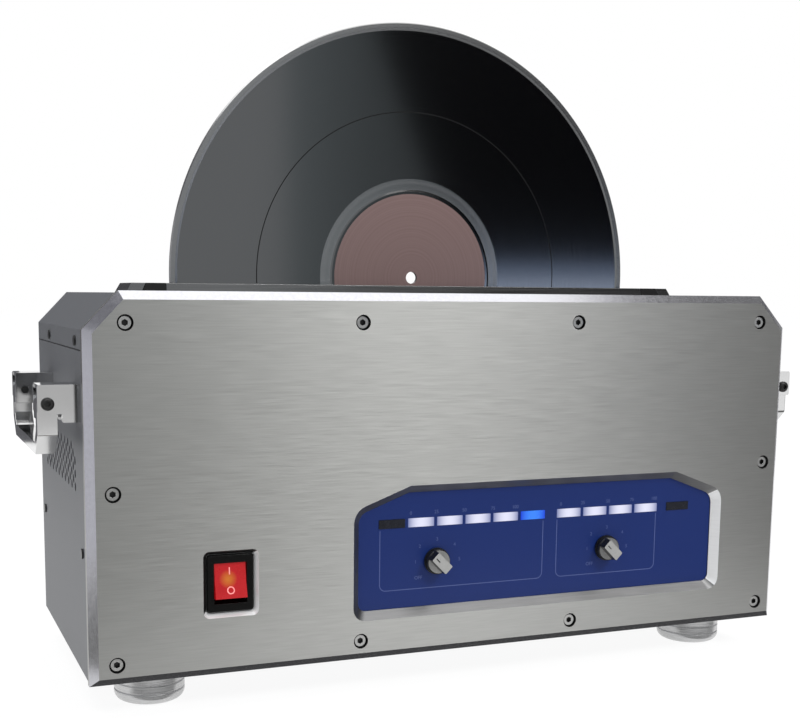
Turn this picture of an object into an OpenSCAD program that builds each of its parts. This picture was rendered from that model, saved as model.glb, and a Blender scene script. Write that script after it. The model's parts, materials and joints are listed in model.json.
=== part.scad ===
// Record cleaning machine: a slot-fed ultrasonic bath with hot-air drying, in a sheet metal case.
// Millimetres. +X is to the right as the machine is faced, +Y to its back, +Z up.
// The origin is on the table, under the middle of the machine.

/* [Front panel] */
// Width of the front panel
panel_w = 420; // [412:1:440]
// Height of the front panel
panel_h = 198; // [194:1:215]
// Thickness of the front panel
panel_t = 8; // [7:0.5:12]
// Bevel round the panel's front edges
panel_bevel = 4.3; // [1:0.1:5]
// Width of the cut at each top corner
corner_x = 18; // [12:0.5:22]
// Height of the cut at each top corner
corner_z = 19; // [12:0.5:22]

/* [Case] */
// Depth of the case behind the front panel
case_depth = 172; // [168:1:200]
// Thickness of the case sheet
sheet_t = 2; // [1.5:0.1:2.5]
// How far the front panel stands past the case
panel_lip = 1; // [0.5:0.1:2]
// Height of the cover's sides, down to the seam
cover_skirt = 28.6; // [26:0.1:32]

/* [Record and slot] */
// Diameter of the record
record_d = 301.6; // [298:0.1:303]
// Thickness of the record at its rim
record_t = 2.1; // [1.6:0.1:2.6]
// Height of the record's lowest point above the base
record_floor = 56.7; // [55:0.1:58]
// Distance from the back of the front panel to the record
slot_setback = 94; // [92:1:98]
// Place of the slot's middle to the right of the case's middle
slot_x = 6; // [2:0.5:8]
// Width of the slot
slot_w = 16; // [14:0.5:18]
// Height of the slot bezel
bezel_h = 5.5; // [3:0.1:7]
// Depth of the slot bezel from front to back
bezel_d = 35; // [30:0.5:40]

/* [Control window] */
// Middle of the control window
window_x = 49; // [46:1:49]
// Width of the control window
window_w = 237; // [236:1:241]
// Height of the window's lower edge
window_z = 21.9; // [20:0.1:23]
// Height of the control window
window_h = 72.9; // [71:0.1:75]
// Width of the sloping edge round the window
window_slope = 4.3; // [3.6:0.1:5]
// Depth of the blue fascia behind the panel's face
fascia_y = 5; // [4:0.1:5.5]
// Thickness of the blue fascia
fascia_t = 2.4; // [2:0.1:2.5]
// Width of a light bar
light_w = 15.4; // [13:0.1:16.4]
// Height of a light bar
light_h = 4.8; // [4:0.1:6]
// Height of the light bars above the base
light_z = 73.4; // [71:0.1:76]
// Diameter of a timer knob
knob_d = 14.8; // [13:0.1:17]
// Length of a timer knob
knob_h = 8.4; // [8:0.1:11]

/* [Handles and feet] */
// Length of a handle over its two brackets
handle_len = 117; // [110:1:124]
// Width of the handle bar
handle_bar_w = 10; // [8:0.1:11]
// Thickness of the handle bar
handle_bar_t = 6; // [5:0.1:7]
// Drop of the handle below its hinge pins
handle_drop = 26.4; // [24:0.1:32]
// Diameter of a handle hinge pin
handle_pin_d = 4.2; // [3.4:0.1:5]
// Diameter of a foot
foot_d = 37.6; // [34:0.1:41]
// Height of a foot
foot_h = 18.7; // [16:0.1:22]

/* [Works] */
// Radius of a roller at the bottom of its groove
groove_r = 10; // [9:0.1:10.5]
// Angle of each roller from the record's lowest point
roller_angle = 30; // [27:0.5:31]
// Diameter of the roller shafts
shaft_d = 6; // [5:0.1:7]
// Tooth size of the drive gears
gear_module = 1; // [0.9:0.05:1.05]
// Teeth of the drive gear
gear_teeth = 40; // [38:1:42]
// Teeth of the motor pinion
pinion_teeth = 20; // [18:1:22]
// Outer radius of a blower
blower_r = 33; // [30:0.5:34]

/* [Hidden] */

$fn = 48;

// Colours
alu = [0.66, 0.66, 0.65];
paint = [0.38, 0.39, 0.41];
chrome_col = [0.78, 0.78, 0.80];
steel = [0.60, 0.60, 0.62];
black = [0.07, 0.07, 0.08];
board_green = [0.10, 0.33, 0.18];
nylon = [0.88, 0.86, 0.78];
bronze = [0.72, 0.52, 0.30];

// Clearances
fit = 0.1;
running = 0.05;
cut = 1;

// Case datums
case_front = panel_t;
case_back = panel_t + case_depth;
rear_front = case_back - sheet_t;
wall_x = panel_w / 2 - panel_lip;
wall_in = wall_x - sheet_t;
case_top = panel_h - panel_lip;
cover_under = case_top - sheet_t;
seam_z = case_top - cover_skirt;
seam_gap = 0.2;
flange = 21;

// Panel screws
screw_r = 2;
screw_head_r = 3.2;
screw_head_h = 4;
screw_socket_r = 1.7;
counterbore_r = 4.1;
counterbore_d = 5.2;
screw_len = 15;
top_screw_in = 20.5;
top_screw_drop = 15.5;
side_screw_in = 13;
side_screw_z = panel_h / 2 - 1;
base_screw_in = 13.5;
base_screw_z = 11;
mid_screw_x = 65;
panel_screws = [for (s = [-1, 1]) each [
    [s * mid_screw_x, panel_h - top_screw_drop],
    [s * (panel_w / 2 - top_screw_in), panel_h - top_screw_drop],
    [s * (panel_w / 2 - side_screw_in), side_screw_z],
    [s * mid_screw_x, base_screw_z],
    [s * (panel_w / 2 - base_screw_in), base_screw_z]]];

// Small screws of the case sides, as depth and height
small_screw_r = 1.5;
small_head_r = 2.6;
small_head_h = 1;
cover_screw_z = seam_z + 4.4;
cover_screw_ys = [case_front + 23.5, rear_front - 50];
side_screw_h = 65;
side_screw_ys = [case_front + 13.6, rear_front - 12];

// Record and slot
record_r = record_d / 2;
record_z = record_floor + record_r;
slot_y = case_front + slot_setback;
spindle_r = 3.63;
label_r = 50.5;
label_t = 0.1;
groove_drop = 0.3;
bead_w = 3.2;
slot_end_gap = 5.5;
guide_len = 13.8;
guide_slant = 2.7;
guide_core_h = 1.5;
guide_core_in = 2.5;
guide_slit = record_t + 2.6;
bezel_end = 8.9;
bezel_slant = 3.1;
slot_len = record_d + 2 * (slot_end_gap + guide_len);
bezel_len = slot_len + 2 * bezel_end;

// Control window
window_cut_x = 33;
window_cut_z = 12.4;
window_round = 7;
window_lip = 0.6;
fascia_seat = 2.5;
light_pitch = 17.4;
wash_lights_x = -53.2;
dry_lights_x = 57.3;
done_light_x = 131.7;
light_front = fascia_y - 0.3;
board_y = fascia_y + fascia_t + 4.4;
board_t = 1.6;
knob_z = 51.3;
wash_knob_x = -18.8;
dry_knob_x = 90.4;
knob_gap = 0.4;
knob_grip = [11.7, 5.8];
knob_skirt = 0.5;
knob_turn = 45;
knob_cap = 4.8;
timer_shaft_r = 3;
bushing_r = 4.4;
timer_body_r = 9.5;
timer_body_y = board_y + board_t;
timer_body_len = 12;
post_r = 2.5;
post_dx = 95;
post_zs = [32, 80.5];

// Power switch
switch_x = -137.1;
switch_z = 48.5;
switch_frame = [25.2, 30.7];
switch_round = 1.9;
switch_slope = 2.1;
switch_front = 1.6;
switch_seat = 3.2;
switch_body = [20.2, 25.8];
switch_body_y = 22;
rocker_w = 16.7;
rocker_len = 18.4;
rocker_hole = [17.5, 21.5];
rocker_depth = 8;
rocker_pivot_y = 7.4;
rocker_tilt = 12.5;
rocker_pin_r = 1.2;

// Handles
bracket_t = 2.2;
bracket_d = 18;
bracket_up = 9.5;
bracket_down = 9.5;
bracket_notch = 4.3;
handle_front = case_front + 11;
handle_mid = handle_front + handle_len / 2;
handle_below_seam = 26.4;
handle_z = seam_z - handle_below_seam;
handle_reach = 21;
handle_out = wall_x + handle_reach;
handle_pin_x = handle_out - handle_bar_w / 2;
handle_pin_r = handle_pin_d / 2;
knuckle_gap = 0.3;
knuckle_drop = 8;
leg_bend = 10.4;

// Side vents
vent_hole_r = 2.4;
vent_step_y = 6.1;
vent_step_z = 6.9;
vent_cols = 19;
vent_rows = 4;
vent_y = case_front + 34;
vent_z = 96.5;

// Feet
foot_x = panel_w / 2 - 36.8;
foot_in = 27.7;
foot_ys = [case_front + foot_in, rear_front - foot_in];
pad_t = 1.5;
pad_r = 12;
pad_recess = 1;
foot_ring_zs = [6.1, 10.5];
foot_ring = 0.5;
foot_round = 4.6;
foot_screw_r = 2.5;
foot_screw_head_r = 4.5;
foot_screw_head_h = 3;
foot_screw_seat = 6;

// Wash tank
tank_t = 1.5;
tank_half = record_r + 8.5;
tank_w = 26;
tank_floor = record_floor - 8;
tank_cut_x = 59;
tank_cut_z = 65;
tank_rim = 8;
tank_front = slot_y - tank_w / 2;
tank_back = slot_y + tank_w / 2;
inlet_z = 152;
hose_r = 5;
hose_bore_r = 3;
drain_r = 5;

// Rollers and gears
seat_gap = 0.3;
roller_r = groove_r + 3;
roller_len = 12;
groove_half = record_t / 2 + 0.5;
roller_reach = record_r + seat_gap + groove_r;
roller_dx = roller_reach * sin(roller_angle);
roller_z = record_z - roller_reach * cos(roller_angle);
shaft_r = shaft_d / 2;
bush_r = shaft_r + 3;
bush_flange_r = bush_r + 2;
bush_len = 7;
bush_flange_t = 1.5;
gear_y = tank_back + tank_t + bush_flange_t + 1;
gear_t = 6;
gear_axes = gear_module * (gear_teeth + pinion_teeth) / 2;
gear_lean = 45;
gear_slack = 0.12;
pinion_x = slot_x + roller_dx + gear_axes * cos(gear_lean);
pinion_z = roller_z + gear_axes * sin(gear_lean);
motor_plate_y = gear_y + gear_t + 2;
motor_plate_t = 2;
motor_y = motor_plate_y + motor_plate_t;
motor_len = 34;
motor_r = 16;
motor_shaft_r = 2;

// Transducers
transducer_dx = 50;
transducer_z = 130;
transducer_r = 20;
transducer_len = 34;

// Blowers
blower_gap = 4;
tank_end = slot_x + tank_half + tank_t;
blower_w = min(25, wall_in - blower_gap - tank_end - 2);
blower_t = 1.5;
blower_x = wall_in - blower_gap - blower_w;
blower_z = 105.5;
outlet_w = 20;
blower_y = slot_y - blower_r + outlet_w / 2;
blower_top = blower_z + blower_r + 3;
duct_h = 18;
duct_top = cover_under - 15;
fan_r = blower_r - 7;
fan_w = blower_w - 8;
fan_blades = 24;
fan_axle_r = 2;
fan_hub_r = 6;
intake_r = fan_r - 6;

// Water side
reservoir_x = [60 - panel_w / 2, 60];
reservoir_y = [38, slot_y + 14];
reservoir_z = [sheet_t + 2, 34];
pump_x = 84;
pump_y = 60;
pump_r = 17;
pump_h = 26;
hose_bend = 10;
tap_x = 110 - panel_w / 2;
tap_z = 20;
tap_pipe_r = 5;
tap_bore_r = 1.9;
tap_body_r = 8;
tap_y = case_back + 10;
spigot_len = 24;
collar_t = 1.5;
spigot_end = tap_y + spigot_len;
lever_len = 32;
lever_t = 2.5;

// Power side
supply_in = 42;
supply_z = 40;
generator_in = 35;
generator_y = 34;
inlet_socket_x = panel_w / 2 - 70;
inlet_socket_z = 40;
socket_body = [27, 20];
socket_flange = [31, 24];
socket_hole = [24.6, 16.8];
socket_depth = 14;
socket_len = 22;
socket_flange_t = 2.5;

// The machine stands with its bounding box centred on the origin from front to back
knob_front = fascia_y - knob_gap - knob_h;
mid_y = (knob_front + spigot_end) / 2;

// Outline of a rectangle with its two top corners cut, in width and height, drawn in by t
function cut_outline(w, z0, z1, cx, cz, t, lift) =
    let (a = atan2(cx, cz), side = t * tan(a / 2), top = t * tan((90 - a) / 2))
    [[-w / 2 + t, z0 + lift], [w / 2 - t, z0 + lift], [w / 2 - t, z1 - cz - side],
    [w / 2 - cx - top, z1 - t], [-(w / 2 - cx - top), z1 - t], [-(w / 2 - t), z1 - cz - side]];

function panel_outline(t, lift) = cut_outline(panel_w, 0, panel_h, corner_x, corner_z, t, lift);
function case_outline(t, lift) = panel_outline(panel_lip + t, lift);

// Points of an arc of radius r that rounds corner p between its neighbours a and b
function corner_arc(a, p, b, r, n) =
    let (u = (a - p) / norm(a - p), v = (b - p) / norm(b - p), half = acos(u * v) / 2)
    let (c = p + (u + v) / norm(u + v) * r / sin(half))
    let (s = p + u * r / tan(half) - c, e = p + v * r / tan(half) - c)
    let (start = atan2(s[1], s[0]), turn = atan2(s[0] * e[1] - s[1] * e[0], s * e))
    [for (i = [0:n]) c + r * [cos(start + turn * i / n), sin(start + turn * i / n)]];

function rounded(pts, radii, n = 6) =
    [for (i = [0:len(pts) - 1])
        each corner_arc(pts[(i + len(pts) - 1) % len(pts)], pts[i], pts[(i + 1) % len(pts)],
            radii[i], n)];

function shifted(pts, dx, dz) = [for (p = pts) [p[0] + dx, p[1] + dz]];

function rect(w, h) = [[-w / 2, -h / 2], [w / 2, -h / 2], [w / 2, h / 2], [-w / 2, h / 2]];

// Control window drawn in by t
function window_outline(t) =
    shifted(rounded(cut_outline(window_w, window_z, window_z + window_h, window_cut_x,
        window_cut_z, t, t), [for (r = [window_round, window_round, 10, 4, 4, 10]) r - t * 0.6]),
        window_x, 0);

// One flank of an involute tooth: polar points from the base circle out to the tip
function involute(base_r, tip_r, half_angle, n) =
    [for (i = [0:n])
        let (r = base_r + (tip_r - base_r) * i / n, roll = sqrt(max(0, r * r / (base_r * base_r) - 1)))
        [r, half_angle - (roll * 180 / PI - atan(roll))]];

// Outline of a spur gear with the given number of teeth
function gear_outline(teeth, phase) =
    let (m = gear_module, pitch_r = m * teeth / 2, base_r = pitch_r * cos(20), root_r = pitch_r - 1.2 * m)
    let (spread = 90 / teeth + (tan(20) * 180 / PI - 20) - gear_slack / pitch_r * 90 / PI)
    let (flank = involute(base_r, pitch_r + 0.95 * m, spread, 5))
    [for (k = [0:teeth - 1])
        let (at = phase + k * 360 / teeth)
        each concat([root_r * [cos(at - spread - 0.5), sin(at - spread - 0.5)]],
            [for (p = flank) p[0] * [cos(at - p[1]), sin(at - p[1])]],
            [for (i = [len(flank) - 1:-1:0]) flank[i][0] * [cos(at + flank[i][1]), sin(at + flank[i][1])]],
            [root_r * [cos(at + spread + 0.5), sin(at + spread + 0.5)]])];

// Puts a piece drawn from the front panel's lower edge into the model's frame
module in_frame() {
    translate([0, -mid_y, foot_h]) children();
}

module box(x0, x1, y0, y1, z0, z1) {
    translate([x0, y0, z0]) cube([x1 - x0, y1 - y0, z1 - z0]);
}

module rod_x(y, z, r, x0, x1) {
    translate([x0, y, z]) rotate([0, 90, 0]) cylinder(r = r, h = x1 - x0);
}

module rod_y(x, z, r, y0, y1) {
    translate([x, y1, z]) rotate([90, 0, 0]) cylinder(r = r, h = y1 - y0);
}

module rod_z(x, y, r, z0, z1) {
    translate([x, y, z0]) cylinder(r = r, h = z1 - z0);
}

// Carries an outline of width and height from y0 back to y1
module extrude_y(y0, y1) {
    translate([0, y1, 0]) rotate([90, 0, 0]) linear_extrude(y1 - y0) children();
}

// Carries an outline of depth and height from x0 to x1
module extrude_x(x0, x1) {
    translate([x0, 0, 0]) rotate([90, 0, 90]) linear_extrude(x1 - x0) children();
}

// Solid between two rings with the same number of points
module between_rings(near, far) {
    n = len(near);
    polyhedron(concat(near, far), concat([[for (i = [n - 1:-1:0]) i]], [[for (i = [n:2 * n - 1]) i]],
        [for (i = [0:n - 1]) [i, (i + 1) % n, n + (i + 1) % n, n + i]]));
}

// Solid from one outline at y0 to another at y1
module loft_y(outline0, y0, outline1, y1) {
    between_rings([for (p = outline0) [p[0], y0, p[1]]], [for (p = outline1) [p[0], y1, p[1]]]);
}

// Solid from one plan outline at z1 down to another at z0
module loft_z(outline1, z1, outline0, z0) {
    between_rings([for (p = outline1) [p[0], p[1], z1]], [for (p = outline0) [p[0], p[1], z0]]);
}

// Round piece from a profile of radius and length, its axis along Y from y0
module turned_y(x, z, y0) {
    translate([x, y0, z]) rotate([-90, 0, 0]) rotate_extrude() children();
}

module both_sides() {
    children();
    mirror([1, 0, 0]) children();
}

module front_panel() {
    slope = window_slope / (fascia_y - window_lip);
    color(alu) in_frame() difference() {
        union() {
            loft_y(panel_outline(panel_bevel, panel_bevel), 0, panel_outline(0, 0), panel_bevel);
            extrude_y(panel_bevel, panel_t) polygon(panel_outline(0, 0));
        }
        loft_y(window_outline(-slope * 0.5), -0.5, window_outline(window_slope), fascia_y - window_lip);
        extrude_y(fascia_y - 2 * window_lip, panel_t + cut) polygon(window_outline(window_slope));
        extrude_y(fascia_y, panel_t + cut) polygon(window_outline(window_slope - fascia_seat));
        switch_cutout();
        for (p = panel_screws) {
            rod_y(p[0], p[1], counterbore_r, -cut, counterbore_d);
            rod_y(p[0], p[1], screw_r + fit, 0, panel_t + cut);
        }
    }
}

// Rectangle of the switch frame, grown by t, with its corners rounded
function switch_outline(t) =
    rounded(rect(switch_frame[0] + 2 * t, switch_frame[1] + 2 * t), [for (i = [0:3]) switch_round + t * 0.6]);

module switch_cutout() {
    translate([switch_x, 0, switch_z]) {
        loft_y(switch_outline(fit + 2 * switch_slope), -switch_seat, switch_outline(fit), switch_seat);
        extrude_y(-cut, panel_t + cut) square(switch_body + [2 * fit, 2 * fit], center = true);
    }
}

module panel_screw_set(y0, len, head_r, head_h, shank_r, socket_r) {
    for (p = panel_screws) difference() {
        union() {
            rod_y(p[0], p[1], head_r, y0, y0 + head_h);
            rod_y(p[0], p[1], shank_r, y0, y0 + head_h + len);
        }
        translate([p[0], y0 + head_h / 2, p[1]]) rotate([90, 30, 0])
            cylinder(r = socket_r, h = head_h, $fn = 6);
    }
}

module front_panel_screws() {
    color(chrome_col) in_frame()
        panel_screw_set(counterbore_d - screw_head_h, screw_len - screw_head_h, screw_head_r, screw_head_h,
            screw_r, screw_socket_r);
}

// Case outline between two heights, one sheet thick, drawn in from the shell
module flange_plate(y0, z0, z1, half) {
    extrude_y(y0, y0 + sheet_t) intersection() {
        polygon(case_outline(sheet_t, sheet_t));
        translate([-half, z0]) square([2 * half, z1 - z0]);
    }
}

module top_cover() {
    color(paint) in_frame() difference() {
        union() {
            extrude_y(case_front, rear_front) difference() {
                polygon(case_outline(0, 0));
                polygon(case_outline(sheet_t, -cut));
                translate([-panel_w, -cut]) square([2 * panel_w, seam_z + cut]);
            }
            for (y = [case_front, rear_front - sheet_t])
                flange_plate(y, case_top - flange - 2, case_top, panel_w);
        }
        box(slot_x - slot_len / 2, slot_x + slot_len / 2, slot_y - slot_w / 2, slot_y + slot_w / 2,
            cover_under - cut, case_top + cut);
        for (p = panel_screws)
            rod_y(p[0], p[1], screw_r + fit, 0, case_back);
        for (y = cover_screw_ys)
            rod_x(y, cover_screw_z, small_screw_r + fit, -panel_w / 2, panel_w / 2);
    }
}

module side_screw(y, z, len) {
    rod_x(y, z, small_head_r, wall_x, wall_x + small_head_h);
    rod_x(y, z, small_screw_r, wall_x - len, wall_x);
}

module case_screws() {
    color(steel) in_frame() both_sides() {
        for (y = cover_screw_ys) side_screw(y, cover_screw_z, 3 * sheet_t);
        for (y = side_screw_ys) side_screw(y, side_screw_h, 3 * sheet_t);
    }
}

module side_plate() {
    extrude_x(wall_in, wall_x) difference() {
        translate([case_front, 0]) square([rear_front - case_front, seam_z - seam_gap]);
        for (i = [0:vent_cols - 1])
            for (j = [0:vent_rows - 1 - (i % 2 == 1 || i == 0 || i == vent_cols - 1 ? 1 : 0)])
                translate([vent_y + i * vent_step_y, vent_z + (j + (i % 2) / 2) * vent_step_z])
                    circle(r = vent_hole_r, $fn = 16);
        for (y = side_screw_ys) translate([y, side_screw_h]) circle(r = small_screw_r + fit);
        for (p = bracket_screw_spots()) translate(p) circle(r = small_screw_r + fit);
    }
}

module side_panel() {
    tab_in = wall_x - flange;
    difference() {
        union() {
            side_plate();
            box(wall_in - sheet_t, wall_in, case_front + 2 * sheet_t, rear_front - 2 * sheet_t,
                seam_z - 10, cover_screw_z + 4);
            box(tab_in, wall_in, case_front + 32, rear_front - 38, sheet_t, 2 * sheet_t);
            for (y = [case_front, rear_front - sheet_t])
                box(tab_in, wall_in, y, y + sheet_t, base_screw_z + 13, seam_z - 12);
        }
        for (p = panel_screws)
            rod_y(p[0], p[1], screw_r + fit, 0, case_back);
        for (y = cover_screw_ys)
            rod_x(y, cover_screw_z, small_screw_r + fit, 0, panel_w / 2);
        for (p = bracket_screw_spots())
            rod_x(p[0], p[1], small_screw_r + fit, 0, panel_w / 2);
    }
}

module right_side_panel() {
    color(paint) in_frame() side_panel();
}

module left_side_panel() {
    color(paint) in_frame() mirror([1, 0, 0]) side_panel();
}

module base_plate() {
    edge = wall_in - fit;
    tab = 6;
    color(steel) in_frame() difference() {
        union() {
            box(-edge, edge, case_front, rear_front, 0, sheet_t);
            for (y = [case_front, rear_front - sheet_t])
                box(-edge, edge, y, y + sheet_t, 0, base_screw_z + 10);
            both_sides() for (y = side_screw_ys)
                box(wall_in - sheet_t - fit, wall_in - fit, y - tab, y + tab, 0, side_screw_h + tab);
            both_sides() for (y = foot_ys) rod_z(foot_x, y, foot_screw_r + 2, 0, sheet_t + 4);
        }
        for (p = panel_screws)
            rod_y(p[0], p[1], screw_r + fit, 0, case_back);
        both_sides() for (y = side_screw_ys)
            rod_x(y, side_screw_h, small_screw_r + fit, wall_in - cut - 2 * sheet_t, wall_x);
        both_sides() for (y = foot_ys)
            rod_z(foot_x, y, foot_screw_r + fit, -cut, sheet_t + 4 + cut);
        rod_y(tap_x, tap_z, tap_pipe_r + fit, rear_front - sheet_t - cut, case_back);
    }
}

module rear_panel() {
    slots = 9;
    color(paint) in_frame() difference() {
        extrude_y(rear_front, case_back) difference() {
            polygon(case_outline(0, 0));
            for (i = [0:slots - 1])
                translate([(i - (slots - 1) / 2) * 8 - 1.5, 90]) square([3, 36]);
            for (p = panel_screws) translate(p) circle(r = small_screw_r + fit);
            translate([tap_x, tap_z]) circle(r = tap_pipe_r + fit);
            translate([inlet_socket_x, inlet_socket_z])
                square(socket_body + [2 * fit, 2 * fit], center = true);
        }
    }
}

module rear_panel_screws() {
    color(steel) in_frame() translate([0, 2 * case_back, 0]) mirror([0, 1, 0])
        panel_screw_set(case_back - 2, 6, small_head_r + 0.4, 2, small_screw_r, 1.1);
}

function bezel_plan(half_x, half_y) =
    shifted([[-half_x, -half_y], [half_x, -half_y], [half_x, half_y], [-half_x, half_y]], slot_x, slot_y);

module bezel_block() {
    loft_z(bezel_plan(bezel_len / 2 - bezel_slant, bezel_d / 2 - 1), case_top + bezel_h,
        bezel_plan(bezel_len / 2, bezel_d / 2), case_top);
}

// Front view of an end guide, from the slot's end towards the record
module guide_side(grow) {
    inner = record_r + slot_end_gap - grow;
    outer = record_r + slot_end_gap + guide_len + grow;
    low = case_top - cut;
    high = case_top + bezel_h + cut;
    polygon([[inner, low], [outer, low], [outer, case_top], [outer - guide_slant, case_top + bezel_h],
        [outer - guide_slant, high], [inner, high]]);
}

// Low rib of the bezel that carries an end guide
module guide_core(gap) {
    half = bezel_d / 2 - guide_core_in + gap;
    inner = record_r + slot_end_gap;
    at_slot_ends() box(inner - cut, inner + guide_len + cut, slot_y - half, slot_y + half,
        case_top - cut, case_top + guide_core_h);
}

module at_slot_ends() {
    translate([slot_x, 0, 0]) both_sides() children();
}

module slot_bezel() {
    color([0.18, 0.18, 0.19]) in_frame() difference() {
        bezel_block();
        box(slot_x - slot_len / 2, slot_x + slot_len / 2, slot_y - slot_w / 2, slot_y + slot_w / 2,
            case_top - cut, case_top + bezel_h + cut);
        difference() {
            at_slot_ends() extrude_y(slot_y - bezel_d, slot_y + bezel_d) guide_side(fit);
            guide_core(0);
        }
    }
}

module slot_end_guides() {
    inner = record_r + slot_end_gap;
    half = slot_w / 2 - fit;
    color(black) in_frame() difference() {
        union() {
            difference() {
                intersection() {
                    bezel_block();
                    at_slot_ends() extrude_y(slot_y - bezel_d, slot_y + bezel_d) guide_side(0);
                }
                guide_core(fit);
            }
            at_slot_ends() box(inner, inner + guide_len - fit, slot_y - half, slot_y + half,
                cover_under, case_top + guide_core_h + fit);
        }
        at_slot_ends() box(inner - cut, inner + guide_len / 2, slot_y - guide_slit / 2,
            slot_y + guide_slit / 2, cover_under - cut, case_top + bezel_h + cut);
    }
}

module at_feet() {
    both_sides() for (y = foot_ys) translate([foot_x, y, 0]) children();
}

// Half section of a foot: ringed wall, rounded lower edge, bored for its screw and pad
module foot_section() {
    r = foot_d / 2;
    low = -(foot_h - pad_t + pad_recess);
    seat = low + foot_screw_seat;
    round_n = 8;
    polygon(concat([[foot_screw_r + fit, 0], [r - 0.8, 0], [r, -0.8]],
        [for (i = [1, 0]) let (z = low + foot_ring_zs[i])
            each [[r, z + foot_ring], [r - foot_ring, z], [r, z - foot_ring]]],
        [for (i = [0:round_n]) let (a = 90 * i / round_n)
            [r - foot_round * (1 - cos(a)), low + foot_round * (1 - sin(a))]],
        [[pad_r + fit, low], [pad_r + fit, low + pad_recess], [foot_screw_head_r + fit, low + pad_recess],
            [foot_screw_head_r + fit, seat], [foot_screw_r + fit, seat]]));
}

module feet() {
    color(alu) in_frame() at_feet() rotate_extrude($fn = 72) foot_section();
}

module foot_pads() {
    color(black) in_frame() at_feet() translate([0, 0, -foot_h]) difference() {
        cylinder(r = pad_r, h = pad_t);
        translate([0, 0, -cut]) cylinder(r = foot_screw_head_r + fit, h = pad_t + 2 * cut);
    }
}

module foot_screws() {
    low = -foot_h + pad_t - pad_recess + foot_screw_seat - foot_screw_head_h;
    color(steel) in_frame() at_feet() translate([0, 0, low]) {
        cylinder(r = foot_screw_head_r, h = foot_screw_head_h);
        cylinder(r = foot_screw_r, h = sheet_t + 4 - low);
    }
}

// Draws a piece of the right front handle end at all four ends
module at_handle_ends() {
    both_sides() {
        children();
        translate([0, 2 * handle_mid, 0]) mirror([0, 1, 0]) children();
    }
}

function bracket_screw_spots() =
    [for (y = [handle_front + bracket_d / 2, handle_front + handle_len - bracket_d / 2])
        each [[y, handle_z - 4.5], [y, handle_z + 4.5]]];

// Front view of a bracket cheek, with its notch for the handle's leg
module bracket_cheek() {
    low = handle_z - bracket_down;
    step = handle_out - handle_bar_w - 2;
    polygon(rounded([[wall_x, low], [step, low], [step, low + bracket_notch],
        [handle_out, low + bracket_notch], [handle_out, handle_z + bracket_up],
        [wall_x, handle_z + bracket_up]], [0.2, 0.8, 0.5, 1, 1, 0.2], 3));
}

module handle_bracket() {
    y0 = handle_front;
    y1 = handle_front + bracket_d;
    difference() {
        union() {
            box(wall_x, wall_x + sheet_t, y0, y1, handle_z - bracket_down, handle_z + bracket_up);
            extrude_y(y0, y0 + bracket_t) bracket_cheek();
            extrude_y(y1 - bracket_t, y1) bracket_cheek();
            box(wall_x, handle_out - 0.5, y0, y1, handle_z + bracket_up - bracket_t, handle_z + bracket_up);
        }
        rod_y(handle_pin_x, handle_z, handle_pin_r + running, y0 - cut, y1 + cut);
        for (p = bracket_screw_spots())
            rod_x(p[0], p[1], small_screw_r + fit, wall_x - cut, wall_x + sheet_t + cut);
    }
}

module handle_brackets() {
    color(chrome_col) in_frame() at_handle_ends() handle_bracket();
}

module handle_pins() {
    y0 = handle_front;
    color(steel) in_frame() at_handle_ends() difference() {
        union() {
            rod_y(handle_pin_x, handle_z, handle_pin_r, y0, y0 + bracket_d + 1.6);
            turned_y(handle_pin_x, handle_z, y0 - 2)
                polygon([[0, 0], [2.2, 0], [3.1, 0.7], [3.3, 1.4], [3.3, 2], [0, 2]]);
        }
        translate([handle_pin_x, y0 - 0.6, handle_z]) rotate([90, 0, 0]) cylinder(r = 1.5, h = 3, $fn = 6);
    }
}

module handle_bracket_screws() {
    color(steel) in_frame() both_sides() for (p = bracket_screw_spots()) {
        rod_x(p[0], p[1], small_head_r, wall_x + sheet_t, wall_x + sheet_t + 1.6);
        rod_x(p[0], p[1], small_screw_r, wall_in - 3, wall_x + sheet_t);
    }
}

// Side view of the handle bar: two legs, two sloping corners and the grip
module handle_side_view() {
    y0 = handle_front + bracket_t + knuckle_gap;
    y1 = handle_front + handle_len - bracket_t - knuckle_gap;
    low = handle_z - handle_drop;
    t = handle_bar_t;
    k = t * tan(22.5);
    b = leg_bend;
    polygon([[y0, handle_z], [y0, low + b], [y0 + b, low], [y1 - b, low], [y1, low + b], [y1, handle_z],
        [y1 - t, handle_z], [y1 - t, low + b + k], [y1 - b - k, low + t], [y0 + b + k, low + t],
        [y0 + t, low + b + k], [y0 + t, handle_z]]);
}

module handle() {
    x0 = handle_out - handle_bar_w;
    y0 = handle_front + bracket_t + knuckle_gap;
    knuckle = bracket_d - 2 * bracket_t - 2 * knuckle_gap;
    difference() {
        union() {
            extrude_x(x0, handle_out) handle_side_view();
            for (y = [y0, handle_front + handle_len - bracket_t - knuckle_gap - knuckle]) {
                rod_y(handle_pin_x, handle_z, handle_bar_w / 2, y, y + knuckle);
                box(x0, handle_out, y, y + knuckle, handle_z - knuckle_drop, handle_z);
            }
        }
        rod_y(handle_pin_x, handle_z, handle_pin_r + running, 0, case_back);
    }
}

module right_handle() {
    color(chrome_col) in_frame() handle();
}

module left_handle() {
    color(chrome_col) in_frame() mirror([1, 0, 0]) handle();
}

wash_lights = [for (i = [0:5]) wash_lights_x + i * light_pitch];
dry_lights = [for (i = [0:3]) dry_lights_x + i * light_pitch];

module light_bar(x, gap) {
    box(x - gap, x + light_w + gap, light_front - gap * 10, board_y + gap * 10,
        light_z - light_h / 2 - gap, light_z + light_h / 2 + gap);
}

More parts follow.
